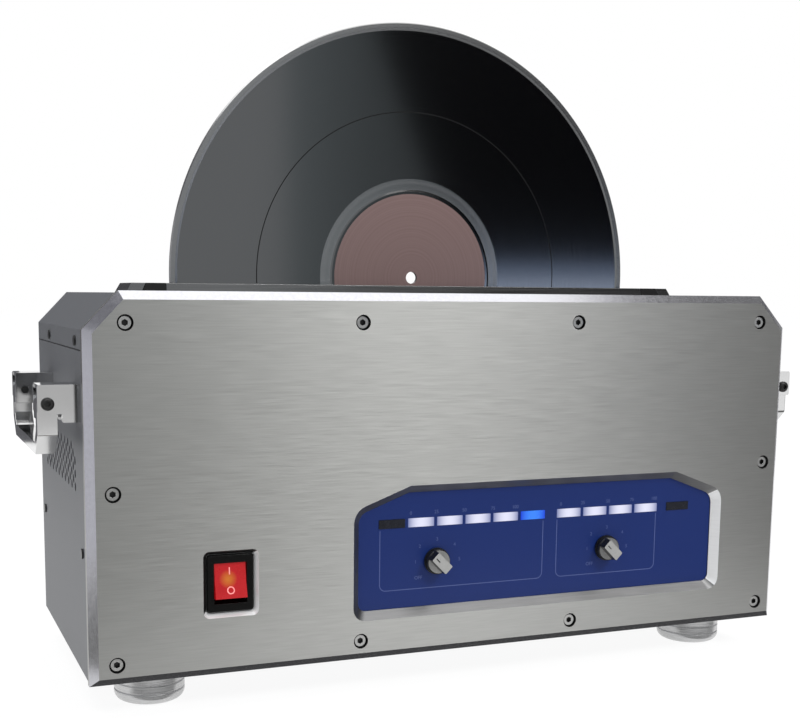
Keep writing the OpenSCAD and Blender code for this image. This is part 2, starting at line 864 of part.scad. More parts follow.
module control_fascia() {
    color([0.13, 0.18, 0.50]) in_frame() difference() {
        union() {
            extrude_y(fascia_y, fascia_y + fascia_t)
                polygon(window_outline(window_slope - fascia_seat + fit));
            for (s = [-1, 1]) for (z = post_zs)
                rod_y(window_x + s * post_dx, z, post_r, fascia_y + fascia_t, board_y);
        }
        for (x = concat(wash_lights, dry_lights, [done_light_x])) light_bar(x, fit);
        for (x = [wash_knob_x, dry_knob_x]) rod_y(x, knob_z, bushing_r + fit, 0, board_y);
    }
}

module white_light_bars() {
    color([0.88, 0.88, 0.97]) in_frame()
        for (x = concat([for (i = [1:4]) wash_lights[i]], dry_lights)) light_bar(x, 0);
}

module blue_light_bar() {
    color([0.15, 0.40, 0.95]) in_frame() light_bar(wash_lights[5], 0);
}

module dark_light_bars() {
    color(black) in_frame() for (x = [wash_lights[0], done_light_x]) light_bar(x, 0);
}

module display_board() {
    margin = 6;
    color(board_green) in_frame() difference() {
        union() {
            box(window_x - window_w / 2 + margin, window_x + window_w / 2 - margin,
                board_y, board_y + board_t,
                window_z + margin, light_z + 12);
            box(-40, -5, board_y + board_t, board_y + board_t + 7, light_z - 4, light_z + 8);
            box(40, 66, board_y + board_t, board_y + board_t + 10, knob_z - 14, knob_z + 4);
        }
        for (x = [wash_knob_x, dry_knob_x]) rod_y(x, knob_z, bushing_r + fit, 0, board_y + 2 * board_t);
    }
}

module timer_switches() {
    color(steel) in_frame() for (x = [wash_knob_x, dry_knob_x]) difference() {
        union() {
            rod_y(x, knob_z, bushing_r, fascia_y + 0.5, timer_body_y);
            rod_y(x, knob_z, timer_body_r, timer_body_y, timer_body_y + timer_body_len);
        }
        rod_y(x, knob_z, timer_shaft_r + running, 0, timer_body_y + timer_body_len - 3);
    }
}

module timer_shaft(x) {
    rod_y(x, knob_z, timer_shaft_r, knob_front + knob_cap, timer_body_y + timer_body_len - 5);
}

module wash_timer_shaft() {
    color(steel) in_frame() timer_shaft(wash_knob_x);
}

module dry_timer_shaft() {
    color(steel) in_frame() timer_shaft(dry_knob_x);
}

// Round knob with a raised grip that points to the upper left
module knob(x) {
    back = fascia_y - knob_gap;
    r = knob_d / 2;
    body_h = 0.48 * knob_h;
    soft = [for (i = [0:3]) 0.6];
    translate([x, 0, knob_z]) difference() {
        union() {
            turned_y(0, 0, back - body_h)
                polygon([[0, 0], [r - 1, 0], [r - knob_skirt, 0.5], [r - knob_skirt, body_h - 1.2],
                    [r, body_h - 1.2], [r, body_h], [0, body_h]]);
            rotate([0, 90 - knob_turn, 0])
                loft_y(rounded(rect(knob_grip[0], knob_grip[1]), soft, 3), back - knob_h,
                    rounded(rect(knob_d - 1.6, knob_grip[1] + 0.8), soft, 3), back - body_h / 2);
        }
        rod_y(0, 0, timer_shaft_r + 0.01, knob_front + knob_cap, back + cut);
    }
}

module wash_knob() {
    color([0.16, 0.16, 0.17]) in_frame() knob(wash_knob_x);
}

module dry_knob() {
    color([0.16, 0.16, 0.17]) in_frame() knob(dry_knob_x);
}

module power_switch_frame() {
    lip = 0.7;
    blade = [0.8, 8, 6];
    pin_hole = rocker_hole[0] / 2 + 1;
    color(black) in_frame() translate([switch_x, 0, switch_z]) difference() {
        union() {
            loft_y(switch_outline(-0.6), switch_front, switch_outline(0), switch_front + lip);
            extrude_y(switch_front + lip, switch_seat) polygon(switch_outline(0));
            extrude_y(switch_seat, switch_body_y) square(switch_body, center = true);
            for (x = [-5, 5]) box(x - blade[0] / 2, x + blade[0] / 2, switch_body_y, switch_body_y + blade[1],
                -blade[2] / 2, blade[2] / 2);
        }
        extrude_y(-cut, rocker_pivot_y + rocker_depth) square(rocker_hole, center = true);
        rod_x(rocker_pivot_y, 0, rocker_pin_r + running, -pin_hole, pin_hole);
    }
}

// Side view of the rocker about its pivot, as depth and height, tipped so that its top is pressed in
module rocker_side_view() {
    h = rocker_len / 2;
    rotate(-rocker_tilt)
        polygon([[-6.6, h], [-5.8, 0], [-6.6, -h], [-5.4, -h], [-1, -h + 0.8], [2.4, -4], [2.4, 4],
            [-1, h - 0.8], [-5.4, h]]);
}

module power_rocker() {
    color([0.78, 0.10, 0.10]) in_frame() translate([switch_x, rocker_pivot_y, switch_z]) {
        extrude_x(-rocker_w / 2, rocker_w / 2) rocker_side_view();
        rod_x(0, 0, rocker_pin_r, -rocker_w / 2 - 0.9, rocker_w / 2 + 0.9);
    }
}

// Long side of the tank: a rectangle with its two lower corners cut, drawn in by t
function tank_outline(t) =
    [for (p = cut_outline(2 * tank_half, -cover_under, -tank_floor, tank_cut_x, tank_cut_z, t, -cut))
        [p[0] + slot_x, -p[1]]];

module wash_tank() {
    rim_z = cover_under - tank_t;
    color(steel) in_frame() difference() {
        union() {
            intersection() {
                extrude_y(tank_front - tank_t, tank_back + tank_t) polygon(tank_outline(-tank_t));
                box(-panel_w, panel_w, 0, case_back, 0, cover_under);
            }
            box(slot_x - tank_half - tank_rim, slot_x + tank_half + tank_rim, tank_front - tank_rim,
                tank_back + tank_rim, rim_z, cover_under);
        }
        extrude_y(tank_front, tank_back) polygon(tank_outline(0));
        for (s = [-1, 1])
            rod_y(slot_x + s * roller_dx, roller_z, bush_r + fit / 2, 0, case_back);
        box(-panel_w, panel_w, slot_y - outlet_w / 2 + 2, slot_y + outlet_w / 2 - 2, duct_top - duct_h + 2,
            duct_top - 2);
        rod_y(pump_x, inlet_z, hose_bore_r, 0, slot_y);
        rod_z(slot_x, slot_y, drain_r, 0, tank_floor + cut);
    }
}

// Bolted stack of a wide front mass, two ceramic rings and a rear mass, its axis towards the front
module transducer(x, y, way) {
    r = transducer_r;
    translate([x, y, transducer_z]) rotate([way * 90, 0, 0]) rotate_extrude()
        polygon([[0, 0], [r, 0], [r, 4], [r * 0.75, 14], [r * 0.75, 15], [r * 0.7, 15], [r * 0.7, 21],
            [r * 0.75, 21], [r * 0.75, transducer_len], [4, transducer_len], [4, transducer_len + 3],
            [0, transducer_len + 3]]);
}

module transducers() {
    color([0.70, 0.70, 0.66]) in_frame() for (s = [-1, 1]) {
        transducer(slot_x + s * transducer_dx, tank_front - tank_t, 1);
        transducer(slot_x + s * transducer_dx, tank_back + tank_t, -1);
    }
}

module grooved_roller(x) {
    half = roller_len / 2;
    color(black) in_frame() turned_y(x, roller_z, slot_y)
        polygon([[shaft_r, -half], [roller_r - 0.6, -half], [roller_r, -half + 0.6],
            [roller_r, -groove_half - 1],
            [groove_r, -groove_half], [groove_r, groove_half], [roller_r, groove_half + 1],
            [roller_r, half - 0.6], [roller_r - 0.6, half], [shaft_r, half]]);
}

module drive_roller() {
    grooved_roller(slot_x + roller_dx);
}

module idler_roller() {
    grooved_roller(slot_x - roller_dx);
}

module drive_shaft() {
    color(steel) in_frame() rod_y(slot_x + roller_dx, roller_z, shaft_r, tank_front - bush_len + 1,
        gear_y + gear_t + 0.6);
}

module idler_shaft() {
    color(steel) in_frame() rod_y(slot_x - roller_dx, roller_z, shaft_r, tank_front - bush_len + 1,
        tank_back + bush_len - 1);
}

// Bush pressed into the tank wall from outside, drawn at the origin with its flange at its outer end
module bush() {
    rotate_extrude() polygon([[shaft_r + running, 0], [bush_flange_r, 0], [bush_flange_r, bush_flange_t],
        [bush_r, bush_flange_t], [bush_r, bush_flange_t + tank_t + 2],
        [shaft_r + running, bush_flange_t + tank_t + 2]]);
}

module roller_bushes() {
    color(bronze) in_frame() for (s = [-1, 1]) translate([slot_x + s * roller_dx, 0, roller_z]) {
        translate([0, tank_front - tank_t - bush_flange_t, 0]) rotate([-90, 0, 0]) bush();
        translate([0, tank_back + tank_t + bush_flange_t, 0]) rotate([90, 0, 0]) bush();
    }
}

module gear_blank(teeth, phase, bore_r) {
    extrude_y(gear_y, gear_y + gear_t) difference() {
        polygon(gear_outline(teeth, phase));
        circle(r = bore_r);
    }
}

module drive_gear() {
    color(nylon) in_frame() translate([slot_x + roller_dx, 0, roller_z])
        gear_blank(gear_teeth, gear_lean, shaft_r);
}

module motor_pinion() {
    color(steel) in_frame() translate([pinion_x, 0, pinion_z]) {
        gear_blank(pinion_teeth, gear_lean + 180 + 180 / pinion_teeth, motor_shaft_r - 0.5);
        rod_y(0, 0, motor_shaft_r, gear_y, motor_y + motor_len / 2);
    }
}

module drive_motor() {
    color([0.30, 0.30, 0.32]) in_frame() difference() {
        union() {
            rod_y(pinion_x, pinion_z, motor_r, motor_y, motor_y + motor_len);
            rod_y(pinion_x, pinion_z, 5, motor_plate_y, motor_y);
            rod_y(pinion_x, pinion_z, 6, motor_y + motor_len, motor_y + motor_len + 3);
        }
        rod_y(pinion_x, pinion_z, motor_shaft_r + running, 0, motor_y + motor_len / 2 + 2);
    }
}

module motor_bracket() {
    half = motor_r + 4;
    color(steel) in_frame() difference() {
        union() {
            box(pinion_x - half, pinion_x + half, motor_plate_y, motor_y, sheet_t, pinion_z + half);
            box(pinion_x - half, pinion_x + half, motor_y, motor_y + 20, sheet_t, sheet_t + 2);
            both_sides_of(pinion_x) extrude_x(half - 2, half)
                polygon([[motor_y, sheet_t + 2], [motor_y + 20, sheet_t + 2], [motor_y, pinion_z - motor_r]]);
        }
        rod_y(pinion_x, pinion_z, 5 + fit, 0, case_back);
    }
}

module both_sides_of(x) {
    translate([x, 0, 0]) both_sides() children();
}

// Spiral-sided blower housing on the right side: open towards the side panel and at its top outlet
module blower() {
    x1 = blower_x + blower_w;
    side = blower_y + blower_r;
    difference() {
        union() {
            rod_x(blower_y, blower_z, blower_r, blower_x, x1);
            box(blower_x, x1, side - outlet_w, side, blower_z, blower_top);
        }
        difference() {
            union() {
                rod_x(blower_y, blower_z, blower_r - blower_t, blower_x + blower_t, x1 - blower_t);
                box(blower_x + blower_t, x1 - blower_t, side - outlet_w + blower_t, side - blower_t, blower_z,
                    blower_top + cut);
            }
            rod_x(blower_y, blower_z, fan_hub_r, blower_x, blower_x + 3.5);
            rod_x(blower_y, blower_z, fan_axle_r, blower_x, x1 - 5);
        }
        rod_x(blower_y, blower_z, intake_r, x1 - blower_t - cut, x1 + cut);
    }
}

module right_blower() {
    color(black) in_frame() blower();
}

module left_blower() {
    color(black) in_frame() mirror([1, 0, 0]) blower();
}

// Drum rotor of the right blower: back disc, hub, blades and a front ring
module fan_rotor() {
    x0 = blower_x + 4;
    difference() {
        union() {
            rod_x(blower_y, blower_z, fan_r, x0, x0 + 1.5);
            rod_x(blower_y, blower_z, fan_hub_r, x0, x0 + fan_w - 7);
            for (i = [0:fan_blades - 1])
                translate([0, blower_y, blower_z]) rotate([i * 360 / fan_blades, 0, 0])
                box(x0, x0 + fan_w, -0.5, 0.5, fan_r - 5, fan_r - 0.2);
            difference() {
                rod_x(blower_y, blower_z, fan_r, x0 + fan_w - 1.5, x0 + fan_w);
                rod_x(blower_y, blower_z, fan_r - 4, x0, x0 + fan_w + cut);
            }
        }
        rod_x(blower_y, blower_z, fan_axle_r + running, 0, panel_w / 2);
    }
}

module right_fan_rotor() {
    color([0.25, 0.26, 0.28]) in_frame() fan_rotor();
}

module left_fan_rotor() {
    color([0.25, 0.26, 0.28]) in_frame() mirror([1, 0, 0]) fan_rotor();
}

// Elbow from a blower's outlet to the end wall of the tank at tank_x, drawn in by t
module duct_outline(tank_x, t, over) {
    x1 = blower_x + blower_w;
    polygon([[blower_x + t, blower_top - over], [x1 - t, blower_top - over], [x1 - t, duct_top - t],
        [tank_x - over, duct_top - t], [tank_x - over, duct_top - duct_h + t],
        [blower_x + t, duct_top - duct_h + t]]);
}

module air_duct(tank_x) {
    difference() {
        extrude_y(slot_y - outlet_w / 2, slot_y + outlet_w / 2) duct_outline(tank_x, 0, 0);
        extrude_y(slot_y - outlet_w / 2 + blower_t, slot_y + outlet_w / 2 - blower_t)
            duct_outline(tank_x, blower_t, cut);
    }
}

module right_air_duct() {
    color([0.25, 0.26, 0.28]) in_frame() air_duct(tank_half + tank_t + slot_x);
}

module left_air_duct() {
    color([0.25, 0.26, 0.28]) in_frame() mirror([1, 0, 0]) air_duct(tank_half + tank_t - slot_x);
}

module water_reservoir() {
    w = reservoir_x[1] - reservoir_x[0];
    d = reservoir_y[1] - reservoir_y[0];
    plan = rounded(rect(w, d), [6, 6, 6, 6]);
    lid = rounded(rect(w + 4, d + 4), [8, 8, 8, 8]);
    color([0.80, 0.84, 0.86]) in_frame()
        translate([(reservoir_x[0] + reservoir_x[1]) / 2, (reservoir_y[0] + reservoir_y[1]) / 2, 0]) {
            translate([0, 0, reservoir_z[0]])
                linear_extrude(reservoir_z[1] - 5 - reservoir_z[0]) polygon(plan);
            translate([0, 0, reservoir_z[1] - 5]) linear_extrude(5) polygon(lid);
        }
}

module circulation_pump() {
    z0 = reservoir_z[0];
    color([0.20, 0.22, 0.25]) in_frame() {
        rod_z(pump_x, pump_y, pump_r, z0, z0 + 10);
        rod_z(pump_x, pump_y, pump_r - 3, z0 + 10, z0 + pump_h);
        rod_x(pump_y, z0 + 5, 4, reservoir_x[1], pump_x);
        rod_z(pump_x, pump_y, hose_r, z0 + pump_h, z0 + pump_h + 6);
    }
}

module tank_drain_valve() {
    low = reservoir_z[1];
    high = tank_floor - tank_t;
    color(bronze) in_frame() difference() {
        union() {
            rod_z(slot_x, slot_y, drain_r + 4, low, high);
            box(slot_x, slot_x + 34, slot_y - 8, slot_y + 8, low + 0.5, high - 0.5);
        }
        rod_z(slot_x, slot_y, drain_r, low - cut, high + cut);
    }
}

// Hose from the pump up to the front wall of the tank
module fill_hose() {
    z0 = reservoir_z[0] + pump_h + 6;
    color([0.75, 0.78, 0.80]) in_frame() translate([pump_x, 0, 0]) {
        translate([0, pump_y, z0]) hose_ring() square([hose_r - hose_bore_r, inlet_z - hose_bend - z0]);
        translate([0, pump_y + hose_bend, inlet_z - hose_bend]) rotate([90, 0, -90])
            rotate_extrude(angle = 90) translate([hose_bend, 0]) difference() {
                circle(r = hose_r);
                circle(r = hose_bore_r);
            }
        translate([0, pump_y + hose_bend, inlet_z]) rotate([-90, 0, 0])
            hose_ring() square([hose_r - hose_bore_r, tank_front - tank_t - pump_y - hose_bend]);
    }
}

module hose_ring() {
    rotate_extrude() translate([hose_bore_r, 0]) children();
}

module drain_tap() {
    color(bronze) in_frame() difference() {
        union() {
            rod_y(tap_x, tap_z, tap_pipe_r, reservoir_y[1], tap_y);
            rod_y(tap_x, tap_z, tap_pipe_r + 3, case_back, case_back + 2);
            rod_z(tap_x, tap_y, tap_body_r, tap_z - 7, tap_z + 7);
            turned_y(tap_x, tap_z, tap_y)
                polygon([[0, 0], [tap_pipe_r, 0], [tap_pipe_r, tap_body_r], [tap_pipe_r + 1.5, tap_body_r],
                    [tap_pipe_r + 1.5, tap_body_r + collar_t], [tap_pipe_r, tap_body_r + collar_t],
                    [tap_pipe_r, spigot_len - 1], [tap_pipe_r - 1, spigot_len], [0, spigot_len]]);
            rod_z(tap_x, tap_y, 3, tap_z + 7, tap_z + 13);
        }
        rod_y(tap_x, tap_z, tap_bore_r, tap_y + 2, spigot_end + cut);
    }
}

module drain_lever() {
    z0 = tap_z + 8;
    color([0.75, 0.12, 0.10]) in_frame() difference() {
        union() {
            rod_z(tap_x, tap_y, 6, z0, z0 + 4);
            translate([0, 0, z0 + 4 - lever_t]) linear_extrude(lever_t) hull() {
                translate([tap_x, tap_y]) circle(r = 5);
                translate([tap_x + lever_len, tap_y]) circle(r = 4);
            }
        }
        rod_z(tap_x, tap_y, 3 + running, z0 - cut, z0 + 4 + cut);
    }
}

// Circuit board on legs with its transformer, capacitors and heat sink
module power_supply() {
    size = [100, 46];
    transformer = [32, 34, 26.4];
    sink = [44, 12, 18.4];
    cap_r = 6;
    cap_h = 22.4;
    leg = [4, 6];
    x0 = supply_in - wall_in;
    y0 = slot_y + tank_w;
    top = supply_z + board_t;
    color(board_green) in_frame() {
        box(x0, x0 + size[0], y0, y0 + size[1], supply_z, top);
        box(x0 + 8, x0 + 8 + transformer[0], y0 + 6, y0 + 6 + transformer[1], top, top + transformer[2]);
        for (i = [0:2]) rod_z(x0 + 54 + i * (2 * cap_r + 1), y0 + 2 * cap_r, cap_r, top, top + cap_h);
        box(x0 + 48, x0 + 48 + sink[0], y0 + 26, y0 + 26 + sink[1], top, top + sink[2]);
        for (x = [x0 + leg[0], x0 + size[0] - leg[0]])
            box(x - leg[0] / 2, x + leg[0] / 2, y0 + 20, y0 + 20 + leg[1], sheet_t, supply_z);
    }
}

// Upright circuit board with a finned heat sink, a coil and a relay
module ultrasonic_generator() {
    size = [95, 64];
    fin = [2, 14.4, 42];
    fin_pitch = 5;
    coil = [12, 12.4];
    relay = [36, 10.4, 14];
    leg = [6, 6];
    x0 = generator_in - wall_in;
    y0 = generator_y;
    z0 = supply_z + 2;
    back = y0 + board_t;
    color(board_green) in_frame() {
        box(x0, x0 + size[0], y0, back, z0, z0 + size[1]);
        for (i = [0:6]) translate([x0 + 6 + i * fin_pitch, back, z0 + 8]) cube(fin);
        rod_y(x0 + 62, z0 + 2 * coil[0], coil[0], back, back + coil[1]);
        translate([x0 + 52, back, z0 + fin[2]]) cube(relay);
        for (x = [x0 + 11, x0 + size[0] - 7]) box(x, x + leg[0], y0 - leg[1], y0, sheet_t, z0 + 6);
    }
}

module power_inlet() {
    pin = [2, 4];
    color(black) in_frame() translate([inlet_socket_x, 0, inlet_socket_z]) {
        difference() {
            union() {
                extrude_y(case_back - socket_len, case_back) square(socket_body, center = true);
                extrude_y(case_back, case_back + socket_flange_t)
                    polygon(rounded(rect(socket_flange[0], socket_flange[1]), [2, 2, 2, 2], 4));
            }
            extrude_y(case_back + socket_flange_t - socket_depth, case_back + socket_flange_t + cut)
                polygon(cut_outline(socket_hole[0], -socket_hole[1] / 2, socket_hole[1] / 2, 4, 4, 0, 0));
        }
        for (p = [[-7, -3], [7, -3], [0, 3]]) translate([p[0], 0, p[1]])
            extrude_y(case_back - socket_len - 8, case_back - 1) square(pin, center = true);
    }
}

// Front half of the record's section, as radius and height: label seat, grooved land and raised bead
function record_side(t) =
    [[spindle_r, t - label_t], [label_r + 1.5, t - label_t], [label_r + 2.5, t - groove_drop],
    [record_r - bead_w - 1.3, t - groove_drop], [record_r - bead_w, t], [record_r - 0.6, t],
    [record_r, t - 0.6]];

module record_disc() {
    side = record_side(record_t / 2);
    color(black) in_frame() turned_y(slot_x, record_z, slot_y)
        polygon(concat([for (p = side) [p[0], -p[1]]], [for (i = [len(side) - 1:-1:0]) side[i]]));
}

module record_labels() {
    t = record_t / 2;
    color([0.49, 0.37, 0.36]) in_frame() for (side = [-t, t - label_t])
        turned_y(slot_x, record_z, slot_y)
            translate([spindle_r, side]) square([label_r - spindle_r, label_t]);
}

front_panel();
front_panel_screws();
top_cover();
case_screws();
left_side_panel();
right_side_panel();
base_plate();
rear_panel();
rear_panel_screws();
slot_bezel();
slot_end_guides();
feet();
foot_pads();
foot_screws();
handle_brackets();
left_handle();
right_handle();
handle_pins();
handle_bracket_screws();
control_fascia();
white_light_bars();
blue_light_bar();
dark_light_bars();
display_board();
timer_switches();
wash_timer_shaft();
dry_timer_shaft();
wash_knob();
dry_knob();
power_switch_frame();
power_rocker();
wash_tank();
transducers();
drive_roller();
drive_shaft();
drive_gear();
idler_roller();
idler_shaft();
roller_bushes();
drive_motor();
motor_bracket();
motor_pinion();
left_blower();
left_fan_rotor();
left_air_duct();
right_blower();
right_fan_rotor();
right_air_duct();
water_reservoir();
circulation_pump();
tank_drain_valve();
fill_hose();
drain_tap();
drain_lever();
power_supply();
ultrasonic_generator();
power_inlet();
record_disc();
record_labels();
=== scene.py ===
"""Looks of a record cleaning machine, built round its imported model.

Places are in millimetres from the lower middle of the front panel's face:
x to the right, y to the back, z up. The function at() carries them into the frame.
"""
import json
import math

import bmesh
import bpy
import numpy as np
from mathutils import Matrix, Vector
from mathutils.bvhtree import BVHTree

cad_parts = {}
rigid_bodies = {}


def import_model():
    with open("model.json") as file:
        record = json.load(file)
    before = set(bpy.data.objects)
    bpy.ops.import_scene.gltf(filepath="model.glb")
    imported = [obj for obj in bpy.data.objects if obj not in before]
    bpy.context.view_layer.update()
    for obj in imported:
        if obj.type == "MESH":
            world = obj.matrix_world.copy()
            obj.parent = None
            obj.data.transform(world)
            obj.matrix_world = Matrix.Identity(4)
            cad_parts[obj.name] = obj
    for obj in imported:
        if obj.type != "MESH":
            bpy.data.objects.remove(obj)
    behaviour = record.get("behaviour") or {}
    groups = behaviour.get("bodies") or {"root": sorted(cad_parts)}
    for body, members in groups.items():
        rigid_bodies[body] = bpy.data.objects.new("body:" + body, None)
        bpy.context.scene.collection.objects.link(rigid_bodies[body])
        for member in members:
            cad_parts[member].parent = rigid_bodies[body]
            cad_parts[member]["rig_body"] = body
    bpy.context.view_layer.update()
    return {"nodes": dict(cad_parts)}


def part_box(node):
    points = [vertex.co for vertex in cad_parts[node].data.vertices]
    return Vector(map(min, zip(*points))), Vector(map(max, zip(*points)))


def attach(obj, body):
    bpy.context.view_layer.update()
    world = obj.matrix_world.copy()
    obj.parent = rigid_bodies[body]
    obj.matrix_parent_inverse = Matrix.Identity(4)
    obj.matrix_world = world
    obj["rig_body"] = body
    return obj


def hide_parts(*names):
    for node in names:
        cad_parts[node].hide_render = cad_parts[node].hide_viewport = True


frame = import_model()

MM = 0.001
FULL_TURN = 2 * math.pi
PANEL_LOW, PANEL_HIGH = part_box("front_panel")


def at(x, y, z):
    """Place in the frame, in metres, of a place in millimetres from the panel's lower middle."""
    return Vector((x * MM, PANEL_LOW.y + y * MM, PANEL_LOW.z + z * MM))


def centre(node):
    """Middle of a node's box, in millimetres from the panel's lower middle."""
    low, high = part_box(node)
    middle = (low + high) / 2
    return middle.x / MM, (middle.y - PANEL_LOW.y) / MM, (middle.z - PANEL_LOW.z) / MM


def placed(name, data):
    """New object in the scene."""
    thing = bpy.data.objects.new(name, data)
    bpy.context.scene.collection.objects.link(thing)
    return thing


# Shader nodes

def spread(value):
    """Three equal parts from one number; a tuple stays as it is."""
    return value if isinstance(value, tuple) else (value, value, value)


def shade(value):
    """Colour with its alpha, from three parts or from one grey level."""
    return (*spread(value), 1)


def feed(tree, node, inputs):
    """Sets a node's inputs, by name or number, to values or to other nodes' outputs."""
    for label, value in inputs.items():
        if isinstance(value, bpy.types.NodeSocket):
            tree.links.new(value, node.inputs[label])
        else:
            node.inputs[label].default_value = value


def add_node(tree, kind, inputs=None, **settings):
    """Shader node of a kind, with its settings and inputs."""
    node = tree.nodes.new("ShaderNode" + kind)
    for label, value in settings.items():
        setattr(node, label, value)
    feed(tree, node, inputs or {})
    return node


def math_node(tree, operation, *values, clamp=False):
    """Output of a math node on numbers or other nodes' outputs."""
    node = add_node(tree, "Math", dict(enumerate(values)), operation=operation, use_clamp=clamp)
    return node.outputs[0]


def vector_node(tree, operation, *values):
    """Vector math node on vectors or other nodes' outputs."""
    return add_node(tree, "VectorMath", dict(enumerate(values)), operation=operation)


def colour_mix(tree, share, first, second):
    """Colour between two colours by a mask."""
    mix = add_node(tree, "Mix", data_type="RGBA")
    feed(tree, mix, {"Factor": share, "A": first, "B": second})
    return mix.outputs["Result"]


def blank_tree(block):
    """Emptied node tree of a material or a world."""
    block.use_nodes = True
    block.node_tree.nodes.clear()
    return block.node_tree


def seen_rays(tree):
    """Mask that is 1 for camera, glossy and transmission rays."""
    rays = add_node(tree, "LightPath").outputs
    direct = math_node(tree, "MAXIMUM", rays["Is Camera Ray"], rays["Is Glossy Ray"])
    return math_node(tree, "MAXIMUM", direct, rays["Is Transmission Ray"])


# Camera and studio

FOCAL_PX = 1238.5
PRINCIPAL_PX = (365.5, 465.5)
IMAGE_PX = (800, 718)
SENSOR_MM = 36.0
CAMERA_AT = at(-303.3, -606.3, 196.9)
CAMERA_YAW = math.radians(21.6)
CAMERA_PITCH = math.radians(7.85)
CAMERA_ROLL = math.radians(0.49)

# The studio is in metres, and its azimuths are in degrees
FLOOR_HALF = 12.0
FLOOR_GREY = 0.90
FLOOR_GLOW = 1.06  # Strength of the white that the floor gives off
FLOOR_WHITE = 0.85  # Share of that white in what seen rays meet
SOFT_LEVEL = 0.75
SOFT_TINT = (0.97, 0.98, 1.0)
STEP_LEVELS = (0.42, 0.35, 0.29, 0.24, 0.20, 0.18, 0.17, 0.17)
STEP_START = 12
STEP_WIDTH = 2
FLOOR_CARD_Z = 0.001
UNDER_CARD_Z = 0.0008
OVERHEAD_CARD_Y = (-0.6, 0.3)
OVERHEAD_CARD_Z = 1.55


def make_camera():
    """Camera whose forward axis is turned right by the yaw and down by the pitch, then rolled."""
    forward = Vector((math.sin(CAMERA_YAW) * math.cos(CAMERA_PITCH),
                      math.cos(CAMERA_YAW) * math.cos(CAMERA_PITCH), -math.sin(CAMERA_PITCH)))
    level = Vector((math.cos(CAMERA_YAW), -math.sin(CAMERA_YAW), 0.0))
    upright = level.cross(forward)
    right = level * math.cos(CAMERA_ROLL) + upright * math.sin(CAMERA_ROLL)
    up = upright * math.cos(CAMERA_ROLL) - level * math.sin(CAMERA_ROLL)
    data = bpy.data.cameras.new("camera")
    data.sensor_width = SENSOR_MM
    data.sensor_fit = "HORIZONTAL"
    data.lens = FOCAL_PX * SENSOR_MM / IMAGE_PX[0]
    data.shift_x = (IMAGE_PX[0] / 2 - PRINCIPAL_PX[0]) / IMAGE_PX[0]
    data.shift_y = (PRINCIPAL_PX[1] - IMAGE_PX[1] / 2) / IMAGE_PX[0]
    camera = placed("camera", data)
    turn = Matrix((right, up, -forward)).transposed().to_4x4()
    camera.matrix_world = Matrix.Translation(CAMERA_AT) @ turn
    bpy.context.scene.camera = camera


def make_floor():
    """Pale floor that reads nearly white where it is seen, and keeps a faint shadow."""
    half = FLOOR_HALF
    mesh = bpy.data.meshes.new("floor")
    mesh.from_pydata([(-half, -half, 0), (half, -half, 0), (half, half, 0), (-half, half, 0)], [],
                     [(0, 1, 2, 3)])
    mat = bpy.data.materials.new("floor")
    tree = blank_tree(mat)
    matt = add_node(tree, "BsdfDiffuse", {"Color": shade(FLOOR_GREY)})
    white = add_node(tree, "Emission", {"Strength": FLOOR_GLOW})
    share = math_node(tree, "MULTIPLY", seen_rays(tree), FLOOR_WHITE)
    mix = add_node(tree, "MixShader", {0: share, 1: matt.outputs[0], 2: white.outputs[0]})
    add_node(tree, "OutputMaterial", {"Surface": mix.outputs[0]})
    mesh.materials.append(mat)
    floor = placed("floor", mesh)


def make_world():
    """White surroundings where they are seen, and a little less as soft light."""
    scene = bpy.context.scene
    scene.view_settings.view_transform = "Standard"
    scene.world = bpy.data.worlds.new("studio")
    tree = blank_tree(scene.world)
    white = add_node(tree, "Background", {"Color": shade(1.0), "Strength": 1.0})
    soft = add_node(tree, "Background", {"Color": shade(SOFT_TINT), "Strength": SOFT_LEVEL})
    mix = add_node(tree, "MixShader",
                   {0: seen_rays(tree), 1: soft.outputs[0], 2: white.outputs[0]})
    add_node(tree, "OutputWorld", {"Surface": mix.outputs[0]})


def area_light(name, place, target, size, power):
    """Rectangular white light at a place, in metres, that faces a target."""
    data = bpy.data.lights.new(name, "AREA")
    data.shape = "RECTANGLE"
    data.size, data.size_y = size
    data.energy = power
    lamp = placed(name, data)
    lamp.location = place
    lamp.rotation_euler = (Vector(target) - Vector(place)).to_track_quat("-Z", "Y").to_euler()


def around(azimuth, radius, height):
    """Place in metres at an azimuth, in degrees right of straight ahead of the panel, a distance
    from the frame's upright axis and a height."""
    turn = math.radians(azimuth)
    return (radius * math.sin(turn), -radius * math.cos(turn), height)


def stage_card(name, corners, level):
    """Glowing card of one colour or grey level that only reflections see."""
    mat = bpy.data.materials.new(name)
    tree = blank_tree(mat)
    glow = add_node(tree, "Emission", {"Color": shade(level)})
    add_node(tree, "OutputMaterial", {"Surface": glow.outputs[0]})
    mesh = bpy.data.meshes.new(name)
    mesh.from_pydata(corners, [], [(0, 1, 2, 3)])
    mesh.materials.append(mat)
    card = placed(name, mesh)
    card.visible_camera = False
    card.visible_diffuse = False
    card.visible_shadow = False


def studio_card(name, ends, heights, radius, level, top_ends=None):
    """Upright card between the azimuths of its ends, its lowest and its highest place. Its upper
    edge may have other ends than its lower one."""
    low = [around(end, radius, heights[0]) for end in ends]
    high = [around(end, radius, heights[1]) for end in top_ends or ends]
    stage_card(name, low + high[::-1], level)


def floor_card(name, ends, near, far, level):
    """Card just over the floor, between two azimuths and two distances."""
    corners = [around(ends[0], near, FLOOR_CARD_Z), around(ends[1], near, FLOOR_CARD_Z),
               around(ends[1], far, FLOOR_CARD_Z), around(ends[0], far, FLOOR_CARD_Z)]
    stage_card(name, corners, level)


def flat_card(name, across, along, height, level):
    """Level card between two places along x and two along y."""
    corners = [(across[0], along[0], height), (across[1], along[0], height),
               (across[1], along[1], height), (across[0], along[1], height)]
    stage_card(name, corners, level)


